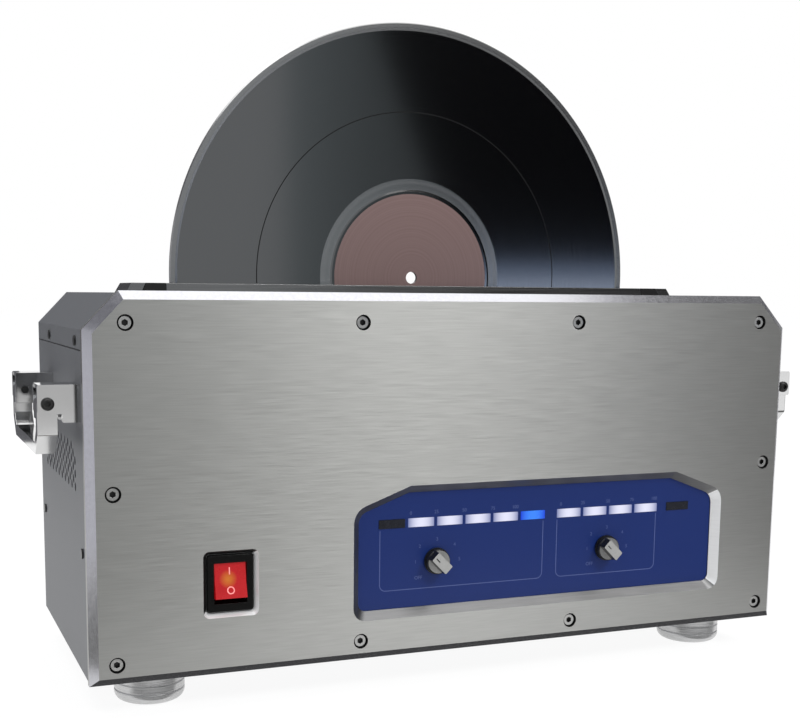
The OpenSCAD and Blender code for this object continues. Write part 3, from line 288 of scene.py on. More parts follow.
def make_studio():
    """Soft light overhead and at the front right, with the cards that the metal and the record
    show."""
    area_light("overhead", (-0.45, 0.0, 1.6), (-0.25, 0.0, 0.2), (1.1, 1.2), 11)
    area_light("front_softbox", around(31.5, 2.6, 2.3), (0, 0, 0.1), (0.9, 0.9), 56)
    studio_card("black_card", (28.3, 66), (0.16, 0.95), 1.5, (0.006, 0.006, 0.008), (17.4, 66))
    studio_card("right_grey_card", (24, 66), (0.95, 1.8), 1.52, (0.25, 0.25, 0.26), (20, 66))
    studio_card("right_card", (66, 115), (0.0, 1.2), 1.5, (0.10, 0.10, 0.11))
    for step, level in enumerate(STEP_LEVELS):
        start = STEP_START + STEP_WIDTH * step
        studio_card(f"grey_step_{step}", (start, start + STEP_WIDTH), (0.14, 0.95), 1.54,
                    (0.88 * level, level, 1.06 * level))
    studio_card("front_left_card", (-70, 16), (0.14, 1.7), 1.56, (0.50, 0.52, 0.54))
    studio_card("front_low_card", (-70, 6), (0.0, 0.14), 1.55, 0.62)
    studio_card("right_low_card", (6, 30), (0.0, 0.14), 1.55, 0.20)
    studio_card("left_card", (-125, -70), (0.0, 1.7), 1.56, (0.75, 0.75, 0.79))
    studio_card("upper_left_card", (-130, -50), (0.65, 2.6), 1.56, (0.26, 0.26, 0.28))
    studio_card("slot_glow_card", (26.5, 40), (0.2, 0.243), 1.4, (1.1, 1.3, 1.7))
    studio_card("slot_dusk_card", (26.5, 40), (0.243, 0.272), 1.4, (0.28, 0.38, 0.60))
    studio_card("back_left_card", (186, 240), (0.02, 1.3), 1.1, (0.12, 0.12, 0.13))
    floor_card("front_floor_card", (-75, 20), 0.36, 1.55, (0.25, 0.25, 0.24))
    floor_card("right_floor_card", (20, 75), 0.36, 1.5, 0.18)
    # Dark card under the machine's front, seen only in reflections: painted shade under the
    # machine.
    flat_card("under_card", (-0.22, 0.25), (-0.125, -0.09), UNDER_CARD_Z, 0.08)
    flat_card("overhead_white_card", (-0.2, 0.88), OVERHEAD_CARD_Y, OVERHEAD_CARD_Z, 1.8)
    flat_card("overhead_grey_card", (0.94, 2.6), OVERHEAD_CARD_Y, OVERHEAD_CARD_Z, 0.22)


make_camera()
make_floor()
make_world()
make_studio()


# Shader node groups

BAR_FALL = 4.6  # How fast a bar's light falls from its middle
SPOT_TOP = 0.85
SPOT_BLEND = 0.3


def node_group(name, inputs, outputs):
    """Empty shader node group with the named inputs (kind, default) and outputs (kind)."""
    tree = bpy.data.node_groups.new(name, "ShaderNodeTree")
    for label, (kind, default) in inputs.items():
        socket = tree.interface.new_socket(label, in_out="INPUT", socket_type="NodeSocket" + kind)
        socket.default_value = default
    for label, kind in outputs.items():
        tree.interface.new_socket(label, in_out="OUTPUT", socket_type="NodeSocket" + kind)
    return tree, tree.nodes.new("NodeGroupInput").outputs, tree.nodes.new("NodeGroupOutput")


def object_place(tree):
    """Object coordinates of the shaded point."""
    return add_node(tree, "TexCoord").outputs["Object"]


def make_grain_group():
    """Stretched noise on object coordinates, as a value from 0 to 1 and as a bumped normal."""
    tree, inside, outside = node_group(
        "grain",
        {"Per metre": ("Vector", (1000, 1000, 1000)), "Detail": ("Float", 3.0),
         "Bump": ("Float", 0.1), "Depth": ("Float", 0.0002)},
        {"Value": "Float", "Normal": "Vector"})
    stretch = vector_node(tree, "MULTIPLY", object_place(tree), inside["Per metre"])
    noise = add_node(tree, "TexNoise", {"Vector": stretch.outputs[0], "Scale": 1.0,
                                        "Detail": inside["Detail"]})
    bump = add_node(tree, "Bump", {"Height": noise.outputs["Fac"], "Strength": inside["Bump"],
                                   "Distance": inside["Depth"]})
    feed(tree, outside, {"Value": noise.outputs["Fac"], "Normal": bump.outputs[0]})
    return tree


def make_tint_group():
    """Colour that wanders between two shades with a value, and a roughness that does so too."""
    tree, inside, outside = node_group(
        "tint",
        {"Value": ("Float", 0.5), "Contrast": ("Float", 1.0), "Dark": ("Color", shade(0.3)),
         "Light": ("Color", shade(0.4)), "Smooth": ("Float", 0.3), "Rough": ("Float", 0.4)},
        {"Color": "Color", "Roughness": "Float"})
    centred = math_node(tree, "SUBTRACT", inside["Value"], 0.5)
    wide = math_node(tree, "MULTIPLY", centred, inside["Contrast"])
    share = math_node(tree, "ADD", wide, 0.5, clamp=True)
    span = add_node(tree, "Mix", {"Factor": share, "A": inside["Smooth"], "B": inside["Rough"]})
    feed(tree, outside, {"Color": colour_mix(tree, share, inside["Dark"], inside["Light"]),
                         "Roughness": span.outputs["Result"]})
    return tree


def make_ring_group():
    """Rings round a line along y: noise that depends on the radius alone, as a value and as a
    bumped normal, and a mask that is 1 on thin bands at two radii."""
    tree, inside, outside = node_group(
        "rings",
        {"Centre": ("Vector", (0, 0, 0)), "Per metre": ("Float", 2000.0),
         "Depth": ("Float", 0.00005), "Inner band": ("Float", 0.1), "Outer band": ("Float", 0.15),
         "Band width": ("Float", 0.001)},
        {"Value": "Float", "Normal": "Vector", "Bands": "Float"})
    shift = vector_node(tree, "SUBTRACT", object_place(tree), inside["Centre"])
    flat = vector_node(tree, "MULTIPLY", shift.outputs[0], (1, 0, 1))
    radius = vector_node(tree, "LENGTH", flat.outputs[0]).outputs["Value"]
    noise = add_node(tree, "TexNoise", noise_dimensions="1D")
    feed(tree, noise, {"W": math_node(tree, "MULTIPLY", radius, inside["Per metre"]),
                       "Scale": 1.0, "Detail": 4.0})
    bump = add_node(tree, "Bump", {"Height": noise.outputs["Fac"], "Strength": 1.0,
                                   "Distance": inside["Depth"]})
    bands = [math_node(tree, "COMPARE", radius, inside[label], inside["Band width"])
             for label in ("Inner band", "Outer band")]
    feed(tree, outside, {"Value": noise.outputs["Fac"], "Normal": bump.outputs[0],
                         "Bands": math_node(tree, "MAXIMUM", *bands)})
    return tree


def make_strip_group():
    """Mask along x that is 1 at the middle of each bar of a row and falls to its ends, with the
    square of the distance to the nearest middle."""
    tree, inside, outside = node_group(
        "strip", {"First": ("Float", 0.0), "Pitch": ("Float", 0.0174)}, {"Value": "Float"})
    split = add_node(tree, "SeparateXYZ", {0: object_place(tree)})
    from_first = math_node(tree, "SUBTRACT", split.outputs["X"], inside["First"])
    bars = math_node(tree, "DIVIDE", from_first, inside["Pitch"])
    off = math_node(tree, "SUBTRACT", bars, math_node(tree, "ROUND", bars))
    fall = math_node(tree, "MULTIPLY", math_node(tree, "MULTIPLY", off, off), BAR_FALL)
    feed(tree, outside, {"Value": math_node(tree, "SUBTRACT", 1.0, fall, clamp=True)})
    return tree


def make_spot_group():
    """Soft round mask that is highest at a place in the frame and 0 past a radius."""
    tree, inside, outside = node_group(
        "spot", {"Centre": ("Vector", (0, 0, 0)), "Radius": ("Float", 0.004)}, {"Value": "Float"})
    away = vector_node(tree, "DISTANCE", object_place(tree), inside["Centre"]).outputs["Value"]
    share = math_node(tree, "DIVIDE", away, inside["Radius"])
    near = math_node(tree, "SUBTRACT", 1.0, share, clamp=True)
    feed(tree, outside, {"Value": math_node(tree, "SMOOTH_MIN", near, SPOT_TOP, SPOT_BLEND)})
    return tree


GRAIN = make_grain_group()
TINT = make_tint_group()
RINGS = make_ring_group()
STRIP = make_strip_group()
SPOT = make_spot_group()


# Finishes

INNER_BAND = 99  # Radii on the record, in millimetres
OUTER_BAND = 146.8
BAND_HALF = 0.55
RING_CONTRAST = 2.4
HALF_BAR = 7.7
LAMP_AT = (-138.3, 1.5, 50.7)
LAMP_RADIUS = 4.9


def spaced(values):
    """Keyword arguments as labels of sockets."""
    return {label.replace("_", " "): value for label, value in values.items()}


def use_group(tree, group, **values):
    """Node group placed in a material, with its inputs set by name."""
    return add_node(tree, "Group", spaced(values), node_tree=group)


def principled(name, sockets):
    """New material, its tree and its shader, with constants on the shader's own sockets."""
    mat = bpy.data.materials.new(name)
    mat.use_nodes = True
    shader = mat.node_tree.nodes["Principled BSDF"]
    feed(mat.node_tree, shader, spaced(sockets))
    return mat, mat.node_tree, shader


def grained(name, dark, light, grain, rough, bump=0.1, depth=0.0002, contrast=1.5, detail=3.0,
            **sockets):
    """Material whose colour and roughness wander between two shades with a stretched noise, which
    also bumps it. The grain is in waves per metre, along all three axes or along each."""
    mat, tree, shader = principled(name, sockets)
    texture = use_group(tree, GRAIN, Per_metre=spread(grain), Detail=detail, Bump=bump, Depth=depth)
    tint = use_group(tree, TINT, Value=texture.outputs["Value"], Contrast=contrast,
                     Dark=shade(dark), Light=shade(light), Smooth=rough[0], Rough=rough[1])
    feed(tree, shader, {"Base Color": tint.outputs["Color"],
                        "Roughness": tint.outputs["Roughness"],
                        "Normal": texture.outputs["Normal"]})
    return mat


def record_finish(name, dark, light, rough, band, per_metre, depth, **sockets):
    """Material of the record, whose shade, roughness and bump follow rings round the spindle hole.
    Two thin bands have a shade of their own."""
    mat, tree, shader = principled(name, sockets)
    rings = use_group(tree, RINGS, Centre=tuple(at(*centre("record_disc"))), Per_metre=per_metre,
                      Depth=depth, Inner_band=INNER_BAND * MM, Outer_band=OUTER_BAND * MM,
                      Band_width=BAND_HALF * MM)
    tint = use_group(tree, TINT, Value=rings.outputs["Value"], Contrast=RING_CONTRAST,
                     Dark=shade(dark), Light=shade(light), Smooth=rough[0], Rough=rough[1])
    colour = colour_mix(tree, rings.outputs["Bands"], tint.outputs["Color"], shade(band))
    feed(tree, shader, {"Base Color": colour, "Roughness": tint.outputs["Roughness"],
                        "Normal": rings.outputs["Normal"]})
    return mat


def glow_between(mat, mask, first, second):
    """Gives a material a glow that goes from the first colour to the second with a mask."""
    tree = mat.node_tree
    feed(tree, tree.nodes["Principled BSDF"],
         {"Emission Color": colour_mix(tree, mask, shade(first), shade(second))})
    return mat


def lit_strip(name, first, edge, middle, body):
    """Lit row of bars: each glows from the edge colour at its ends to the middle colour."""
    mat = grained(name, body, body, 400, (0.2, 0.3), bump=0.02, Emission_Strength=1.0)
    strip = use_group(mat.node_tree, STRIP, First=first)
    return glow_between(mat, strip.outputs["Value"], edge, middle)


def lamp_red(name, glow, lamp):
    """Red rocker plastic lit from behind, with the lamp's warm spot showing through."""
    mat = grained(name, (0.25, 0.005, 0.007), (0.30, 0.007, 0.010), 120, (0.24, 0.32), bump=0.02,
                  Specular_IOR_Level=0.3, Emission_Strength=1.0)
    spot = use_group(mat.node_tree, SPOT, Centre=tuple(at(*LAMP_AT)), Radius=LAMP_RADIUS * MM)
    return glow_between(mat, spot.outputs["Value"], glow, lamp)


brushed = grained("brushed_aluminium", (0.380, 0.380, 0.367), (0.430, 0.430, 0.416),
                  (55, 55, 2400), (0.38, 0.46), bump=0.06, depth=0.0003, contrast=2.2, detail=2.0,
                  Metallic=1.0, Anisotropic=0.85, Anisotropic_Rotation=0.25)
cut_edge = grained("cut_aluminium_edge", (0.50, 0.50, 0.53), (0.58, 0.58, 0.61), 500,
                   (0.16, 0.24), bump=0.03, Metallic=1.0)
# Darker copy of the aluminium for the slopes of the openings: painted shade.
slope_painted_shade = grained("slope_painted_shade", 0.21, 0.26, (45, 45, 1800), (0.30, 0.40), bump=0.05,
                     Metallic=1.0)
# Light copy of the aluminium for the slopes on the right of the openings and under the switch:
# painted highlight.
slope_painted_highlight = grained("slope_painted_highlight", 0.74, 0.80, (45, 45, 1800), (0.42, 0.50), bump=0.0,
                      Metallic=0.45)
screw_steel = grained("screw_steel", (0.42, 0.42, 0.41), (0.52, 0.52, 0.51), 900, (0.30, 0.42),
                      bump=0.2, Metallic=0.85)
# Black oxide steel of the case, rear, pin and bracket screws, also used as painted shade in the
# panel's counterbores and round its screws' heads.
oxide_black_and_painted_shade = grained("oxide_steel_and_painted_shade", 0.02, 0.035, 600, (0.28, 0.4), bump=0.05, Metallic=0.5)
painted = grained("painted_case", (0.110, 0.114, 0.124), (0.130, 0.134, 0.144), 1800,
                  (0.42, 0.52), bump=0.10, Specular_IOR_Level=0.4)
chrome = grained("chrome", 0.60, 0.68, 40, (0.06, 0.11), bump=0.02, depth=0.0005, Metallic=1.0)
turned_alu = grained("turned_aluminium", 0.52, 0.68, (40, 40, 2200), (0.24, 0.34), bump=0.05,
                     Metallic=0.6)
bezel_metal = grained("bezel_aluminium", 0.006, 0.010, (20, 1500, 1500), (0.16, 0.24), bump=0.04,
                      IOR=1.9, Specular_IOR_Level=1.0)
guide_plastic = grained("guide_plastic", 0.003, 0.005, 1500, (0.40, 0.50), Specular_IOR_Level=0.2)
fascia_blue = grained("blue_fascia", (0.0058, 0.0190, 0.112), (0.0070, 0.0220, 0.124), 1200,
                      (0.30, 0.38), bump=0.03, Specular_IOR_Level=0.25)
fascia_print = grained("fascia_print", (0.055, 0.080, 0.220), (0.080, 0.110, 0.270), 2500,
                       (0.4, 0.5), bump=0.02, Specular_IOR_Level=0.3)
knob_black = grained("knob_plastic", 0.006, 0.010, 1400, (0.24, 0.34))
knob_cap = grained("knob_cap", (0.33, 0.33, 0.32), (0.40, 0.40, 0.39), 1400, (0.30, 0.42),
                   Metallic=0.3)
knob_face = grained("knob_face", 0.30, (0.42, 0.42, 0.41), 1400, (0.26, 0.36), Metallic=0.8)
# Black plastic of the switch frame and the inlet, also used for the painted shadow of the cover's
# seam.
switch_black = grained("switch_black", 0.003, 0.005, 900, (0.16, 0.26), Specular_IOR_Level=0.2)
rocker_red = lamp_red("rocker_red", (0.17, 0.002, 0.003), (0.30, 0.19, 0.010))
rocker_mark = grained("rocker_mark", (0.72, 0.20, 0.20), (0.80, 0.26, 0.25), 900, (0.3, 0.4),
                      bump=0.02, Emission_Color=(0.8, 0.25, 0.22, 1), Emission_Strength=0.35)

WHITE_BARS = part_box("white_light_bars")
FIRST_WASH_BAR = WHITE_BARS[0].x + HALF_BAR * MM
LAST_DRY_BAR = WHITE_BARS[1].x - HALF_BAR * MM
WHITE_GLOW = ((0.10, 0.13, 0.32), (0.72, 0.73, 0.88), (0.06, 0.06, 0.08))
wash_lit = lit_strip("wash_lights_lit", FIRST_WASH_BAR, *WHITE_GLOW)
dry_lit = lit_strip("dry_lights_lit", LAST_DRY_BAR, *WHITE_GLOW)
blue_light = lit_strip("blue_light", FIRST_WASH_BAR, (0.004, 0.030, 0.60), (0.045, 0.24, 0.98),
                       (0.003, 0.01, 0.06))
dark_light = grained("dark_light", (0.006, 0.007, 0.012), (0.010, 0.011, 0.018), 300, (0.2, 0.3))

vinyl = record_finish("record_vinyl", 0.0005, 0.001, (0.08, 0.12), 0.001, 1200, 0.000004,
                      IOR=1.92, Specular_IOR_Level=1.0)
# Dead wax: the record's own smooth ring, rougher than the grooves, with a greyer colour than the
# grooved vinyl as painted sheen.
dead_wax_and_painted_sheen = record_finish("dead_wax_and_painted_sheen", 0.014, 0.018, (0.20, 0.26), 0.02, 300, 0.000002, IOR=2.6,
                         Specular_IOR_Level=1.0)
# Rim: the record's own vinyl on its outer band, made greyer and more reflective as painted sheen on
# the bead.
rim_vinyl_and_painted_sheen = record_finish("rim_vinyl_and_painted_sheen", 0.012, 0.018, (0.20, 0.28), 0.02, 300, 0.000002, IOR=2.3,
                          Specular_IOR_Level=1.0)
song_gap = record_finish("song_gap", 0.001, 0.002, (0.35, 0.40), 0.002, 300, 0.000002,
                         Specular_IOR_Level=0.3)
label_paper = record_finish("record_label", (0.165, 0.100, 0.093), (0.190, 0.118, 0.110),
                            (0.34, 0.42), (0.16, 0.10, 0.09), 900, 0.000004,
                            Specular_IOR_Level=0.5, Coat_Weight=0.8, Coat_Roughness=0.2)

zinc = grained("zinc_steel", (0.40, 0.41, 0.43), (0.52, 0.52, 0.54), 300, (0.25, 0.40), bump=0.05,
               Metallic=1.0)
stainless = grained("stainless_tank", 0.50, 0.60, (12, 12, 1500), (0.22, 0.34), bump=0.06,
                    Metallic=1.0)
foot_rubber = grained("foot_rubber", 0.012, 0.02, 900, (0.7, 0.85), bump=0.2)
roller_rubber = grained("roller_rubber", 0.015, 0.03, 900, (0.45, 0.6))
board_green = grained("circuit_board", (0.02, 0.09, 0.04), (0.03, 0.13, 0.06), 700, (0.3, 0.45))
nylon = grained("gear_nylon", (0.70, 0.66, 0.56), (0.78, 0.75, 0.66), 500, (0.35, 0.5))
bronze = grained("bush_bronze", (0.42, 0.26, 0.12), (0.55, 0.36, 0.18), 600, (0.25, 0.4),
                 Metallic=1.0)
nickel = grained("nickel_brass", (0.52, 0.46, 0.34), (0.62, 0.56, 0.44), 500, (0.18, 0.3),
                 Metallic=1.0)
motor_black = grained("motor_can", 0.03, 0.05, 500, (0.3, 0.45), Metallic=0.3)
works_plastic = grained("works_plastic", 0.018, 0.028, 800, (0.45, 0.6))
reservoir = grained("reservoir_plastic", (0.55, 0.60, 0.64), (0.62, 0.67, 0.70), 200, (0.3, 0.45))
hose = grained("hose_silicone", (0.55, 0.58, 0.60), (0.62, 0.65, 0.67), 300, (0.25, 0.4))
transducer_alloy = grained("transducer_alloy", (0.48, 0.48, 0.45), (0.58, 0.58, 0.55), 400,
                           (0.3, 0.42), Metallic=1.0)
lever_red = grained("lever_red", (0.45, 0.02, 0.015), (0.52, 0.03, 0.02), 400, (0.25, 0.38))

PLAIN = {
    painted: ["top_cover", "left_side_panel", "right_side_panel", "rear_panel"],
    zinc: ["base_plate", "foot_screws", "timer_switches", "wash_timer_shaft", "dry_timer_shaft",
           "drive_shaft", "idler_shaft", "motor_bracket", "motor_pinion"],
    stainless: ["wash_tank"],
    foot_rubber: ["foot_pads"],
    roller_rubber: ["drive_roller", "idler_roller"],
    board_green: ["display_board", "power_supply", "ultrasonic_generator"],
    nylon: ["drive_gear"],
    bronze: ["roller_bushes"],
    nickel: ["tank_drain_valve", "drain_tap"],
    motor_black: ["drive_motor"],
    works_plastic: ["left_blower", "left_fan_rotor", "left_air_duct", "right_blower",
                    "right_fan_rotor", "right_air_duct", "circulation_pump"],
    reservoir: ["water_reservoir"],
    hose: ["fill_hose"],
    transducer_alloy: ["transducers"],
    lever_red: ["drain_lever"],
}
for finish, names in PLAIN.items():
    for node in names:
        frame["nodes"][node].data.materials.clear()
        frame["nodes"][node].data.materials.append(finish)


# Meshes

MERGE = 1e-6
FLAT_DEGREES = 0.3
SHARP_DEGREES = 30


def body_of(node):
    """Body that a node rides on."""
    return frame["nodes"][node]["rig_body"]


def new_piece(name, mesh, finish, node):
    """Puts a finished mesh in the scene with its material, on the body of a node."""
    piece = placed(name, mesh)
    mesh.materials.clear()
    mesh.materials.append(finish)
    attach(piece, body_of(node))
    return piece


def smooth_by_angle(mesh, degrees=32):
    """Smooth shading with sharp edges where faces meet at more than the angle."""
    mesh.polygons.foreach_set("use_smooth", np.ones(len(mesh.polygons), bool))
    mesh.set_sharp_from_angle(angle=math.radians(degrees))
    mesh.update()


def round_edges(piece, width, segments):
    """Bevel modifier that rounds the sharp edges by a width in millimetres."""
    bevel = piece.modifiers.new("edges", "BEVEL")
    bevel.width = width * MM
    bevel.segments = segments
    bevel.limit_method = "ANGLE"
    bevel.angle_limit = math.radians(SHARP_DEGREES)
    bevel.harden_normals = True
    bevel.miter_outer = "MITER_ARC"


def dressed(node, finish, width=0.0, segments=2):
    """Copy of a CAD node, merged and smooth where it is round, with edges rounded by a width."""
    mesh = frame["nodes"][node].data.copy()
    if "custom_normal" in mesh.attributes:
        mesh.attributes.remove(mesh.attributes["custom_normal"])
    work = bmesh.new()
    work.from_mesh(mesh)
    bmesh.ops.remove_doubles(work, verts=work.verts, dist=MERGE)
    bmesh.ops.dissolve_limit(work, angle_limit=math.radians(FLAT_DEGREES), verts=work.verts,
                             edges=work.edges)
    work.to_mesh(mesh)
    work.free()
    smooth_by_angle(mesh)
    piece = new_piece(node + "_dressed", mesh, finish, node)
    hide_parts(node)
    if width:
        round_edges(piece, width, segments)
    return piece


def second_finish(piece, finish, chosen):
    """Gives the faces that a function of their normals and centres chooses another material."""
    faces = piece.data.polygons
    normal = np.empty(len(faces) * 3)
    middle = np.empty(len(faces) * 3)
    slots = np.empty(len(faces), np.int32)
    faces.foreach_get("normal", normal)
    faces.foreach_get("center", middle)
    faces.foreach_get("material_index", slots)
    piece.data.materials.append(finish)
    slots[chosen(normal.reshape(-1, 3), middle.reshape(-1, 3))] = len(piece.data.materials) - 1
    faces.foreach_set("material_index", slots)
    piece.data.update()


def surface(name, points, closed=False):
    """Mesh over a grid of points, rows by columns; closed joins the last column to the first."""
    rows, columns = points.shape[:2]
    index = np.arange(rows * columns).reshape(rows, columns)
    if closed:
        index = np.hstack([index, index[:, :1]])
    quads = np.stack([index[:-1, :-1], index[:-1, 1:], index[1:, 1:], index[1:, :-1]], -1)
    mesh = bpy.data.meshes.new(name)
    mesh.from_pydata(points.reshape(-1, 3).tolist(), [], quads.reshape(-1, 4).tolist())
    work = bmesh.new()
    work.from_mesh(mesh)
    bmesh.ops.remove_doubles(work, verts=work.verts, dist=MERGE)
    bmesh.ops.recalc_face_normals(work, faces=work.faces)
    work.to_mesh(mesh)
    work.free()
    return mesh


def merged(name, meshes):
    """One mesh from several."""
    work = bmesh.new()
    for mesh in meshes:
        work.from_mesh(mesh)
        bpy.data.meshes.remove(mesh)
    whole = bpy.data.meshes.new(name)
    work.to_mesh(whole)
    work.free()
    return whole


def turned(name, profile, place, axis, segments):
    """Surface of revolution p(i, a) = place + h(i) axis + r(i) (cos a side + sin a across), where
    the profile gives each r and h in millimetres and side and across stand square to the axis."""
    profile = np.asarray(profile, float)
    axis = Vector(axis).normalized()
    side = axis.orthogonal().normalized()
    across = axis.cross(side)
    angle = np.linspace(0, FULL_TURN, segments, endpoint=False)
    ring = np.cos(angle)[:, None] * np.array(side) + np.sin(angle)[:, None] * np.array(across)
    points = (np.array(place) + MM * profile[:, None, 1, None] * np.array(axis)
              + MM * profile[:, None, 0, None] * ring[None])
    return surface(name, points, closed=True)


# Faces that get a second finish, chosen by their normals and their middles

LEAN = (-0.97, -0.2)  # A leaning face's normal along y
PANEL_RIM = 8  # The outer bevel lies within this of the panel's sides and its lower edge
CORNER_RIM = 24  # The cut corners lie within this of its upper edge
COUNTERBORE_LIP = 0.5
COUNTERBORE_FLOOR = 4
SCREW_FACE = 0.4
KNOB_FACE = 0.3
KNOB_BODY = 6
RIGHT_OF_SWITCH = -100
BETWEEN_LIGHTS = 50


def slanted(normal, middle):
    """Faces that lean forwards: the panel's outer bevel and the slopes of its openings."""
    return (normal[:, 1] > LEAN[0]) & (normal[:, 1] < LEAN[1])


def opening_slope(normal, middle):
    """The slopes round the window and round the switch's opening, which get a darker copy of the
    aluminium as painted shade.
    """
    x, z = middle[:, 0], middle[:, 2]
    return (slanted(normal, middle)
            & (x > PANEL_LOW.x + PANEL_RIM * MM) & (x < PANEL_HIGH.x - PANEL_RIM * MM)
            & (z > PANEL_LOW.z + PANEL_RIM * MM) & (z < PANEL_HIGH.z - CORNER_RIM * MM))


def bright_slope(normal, middle):
    """The slopes on the right of the openings, and the one under the switch, which get a light copy
    of the aluminium as painted highlight.
    """
    under_switch = (normal[:, 2] > 0.3) & (middle[:, 0] < at(RIGHT_OF_SWITCH, 0, 0).x)
    return opening_slope(normal, middle) & ((normal[:, 0] <= -0.5) | under_switch)


def counterbore(normal, middle):
    """The walls and floors of the panel's counterbores, told by their depths behind its face, which
    are painted black as shade.
    """
    depth = (middle[:, 1] - PANEL_LOW.y) / MM
    wall = (normal[:, 1] > -0.2) & (depth > COUNTERBORE_LIP) & (depth < COUNTERBORE_FLOOR)
    floor = (normal[:, 1] < -0.9) & (depth > COUNTERBORE_FLOOR)
    return wall | floor


def deeper_than(y):
    """Chooses the faces behind a place along y."""
    return lambda normal, middle: middle[:, 1] > y


def right_of(x):
    """Chooses the faces past a place along x in millimetres."""
    return lambda normal, middle: middle[:, 0] > at(x, 0, 0).x


def ridge_top(front):
    """Chooses the faces at a knob's front."""
    return lambda normal, middle: middle[:, 1] < front + KNOB_FACE * MM


def flat_face(front):
    """Chooses the faces of a knob's body that look forwards, behind its ridge's front and before
    its skirt."""
    return lambda normal, middle: ((normal[:, 1] < -0.9)
                                   & (middle[:, 1] >= front + KNOB_FACE * MM)
                                   & (middle[:, 1] < front + KNOB_BODY * MM))


def ring(inner, outer):
    """Chooses the record's faces between two radii in millimetres."""
    hub = at(*centre("record_disc"))

    def chosen(normal, middle):
        radius = np.hypot(middle[:, 0] - hub.x, middle[:, 2] - hub.z) / MM
        return (radius > inner) & (radius < outer)
    return chosen


# Record

SPINDLE_HOLE = 3.63
LABEL_SEAT = 52.0
DEAD_WAX = (53.0, 59.5)
SONG_GAP = (98.7, 99.3)
SEAT_DROP = 0.1
LAND_DROP = 0.3
BEAD_FOOT = 4.5
BEAD_CREST = 3.2
BEAD_SHOULDER = 0.6
RIM_FINISH = 4.4


def make_record():
    """The record turned afresh so that its rings are even: its half section runs straight between
    the radii and heights of label seat, dead wax, grooved land and bead, and is mirrored to the
    other face."""
    low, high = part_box("record_disc")
    rim = (high.z - low.z) / 2 / MM
    half = (high.y - low.y) / 2 / MM
    seat = half - SEAT_DROP
    land = half - LAND_DROP
    side = [(SPINDLE_HOLE, seat), (LABEL_SEAT, seat)]
    side += [(radius, land) for radius in (*DEAD_WAX, *SONG_GAP, rim - BEAD_FOOT)]
    side += [(rim - BEAD_CREST, half), (rim - BEAD_SHOULDER, half), (rim, half - BEAD_SHOULDER)]
    profile = side + [(radius, -height) for radius, height in reversed(side)] + side[:1]
    mesh = turned("record_disc_dressed", profile, at(*centre("record_disc")), (0, -1, 0), 240)
    smooth_by_angle(mesh, 3)
    piece = new_piece("record_disc_dressed", mesh, vinyl, "record_disc")
    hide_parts("record_disc")
    # The dead wax ring gets a greyer copy of the vinyl: painted sheen.
    second_finish(piece, dead_wax_and_painted_sheen, ring(*DEAD_WAX))
    second_finish(piece, song_gap, ring(*SONG_GAP))
    # The rim gets a greyer copy of the vinyl: painted sheen on its bead.
    second_finish(piece, rim_vinyl_and_painted_sheen, ring(rim - RIM_FINISH, rim))


# Dressed pieces: finish, width of the rounded edges and segments across them

DRESS = {
    "front_panel": (brushed,),
    "front_panel_screws": (screw_steel, 0.25),
    "case_screws": (oxide_black_and_painted_shade, 0.2),
    "rear_panel_screws": (oxide_black_and_painted_shade, 0.2),
    "slot_bezel": (bezel_metal, 0.3),
    "slot_end_guides": (guide_plastic, 0.25),
    "handle_brackets": (chrome, 0.6),
    "left_handle": (chrome, 0.8, 3),
    "right_handle": (chrome, 0.8, 3),
    "handle_pins": (oxide_black_and_painted_shade, 0.15),
    "handle_bracket_screws": (oxide_black_and_painted_shade, 0.15),
    "control_fascia": (fascia_blue,),
    "white_light_bars": (wash_lit,),
    "blue_light_bar": (blue_light,),
    "dark_light_bars": (dark_light,),
    "wash_knob": (knob_black,),
    "dry_knob": (knob_black,),
    "power_switch_frame": (switch_black, 0.3),
    "power_rocker": (rocker_red,),
    "power_inlet": (switch_black, 0.3),
    "feet": (turned_alu, 0.15),
}
pieces = {node: dressed(node, *dress) for node, dress in DRESS.items()}
second_finish(pieces["front_panel"], cut_edge, slanted)
# The slopes of the openings get the darker copy of the aluminium as painted shade.
second_finish(pieces["front_panel"], slope_painted_shade, opening_slope)
# The slopes on the right and under the switch get the light copy as painted highlight.
second_finish(pieces["front_panel"], slope_painted_highlight, bright_slope)
# The counterbores are painted black: painted shade in the recesses round the screws.
second_finish(pieces["front_panel"], oxide_black_and_painted_shade, counterbore)
# The screws' sides and sockets, behind their faces, are painted black: painted shade in the gap
# round each head.
second_finish(pieces["front_panel_screws"], oxide_black_and_painted_shade,
              deeper_than(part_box("front_panel_screws")[0].y + SCREW_FACE * MM))
second_finish(pieces["white_light_bars"], dry_lit, right_of(BETWEEN_LIGHTS))
for knob in ("wash_knob", "dry_knob"):
    second_finish(pieces[knob], knob_cap, ridge_top(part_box(knob)[0].y))
    second_finish(pieces[knob], knob_face, flat_face(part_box(knob)[0].y))
make_record()
dressed("record_labels", label_paper)


# Print, marks and the painted shadow of the cover's seam

PRINT_LIFT = 0.03
MARK_LIFT = 0.05
FASCIA_Y = (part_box("control_fascia")[0].y - PANEL_LOW.y) / MM
FONT_CAPITAL = 0.7
LETTER_HEIGHT = 1.9
LINE_WIDTH = 0.42
FRAMES = ((-52.5, 48.3), (57.4, 124.4))
FRAME_HEIGHTS = (36.3, 69.8)
FRAME_CORNER = 3.5
SCALE_Z = 78.7
SCALE_TEXTS = ("0", "25", "50", "75", "100")
SCALE_PLACES = ((-34.3, -18.9, -1.8, 16.0, 30.2), (59.7, 74.3, 91.2, 107.6, 123.0))
DIAL_TEXTS = ("OFF", "1", "2", "3", "4", "5")
DIAL_PLACES = ((-10.6, -9.0), (-12.4, 0.0), (-9.9, 8.6), (0.6, 12.0), (11.3, 8.4), (14.4, -0.1))
BAR_AT = (-137.5, 54.9)
BAR_HALF = (0.32, 1.9)
RING_AT = (-137.3, 45.0)
RING_RADII = (1.45, 2.05)
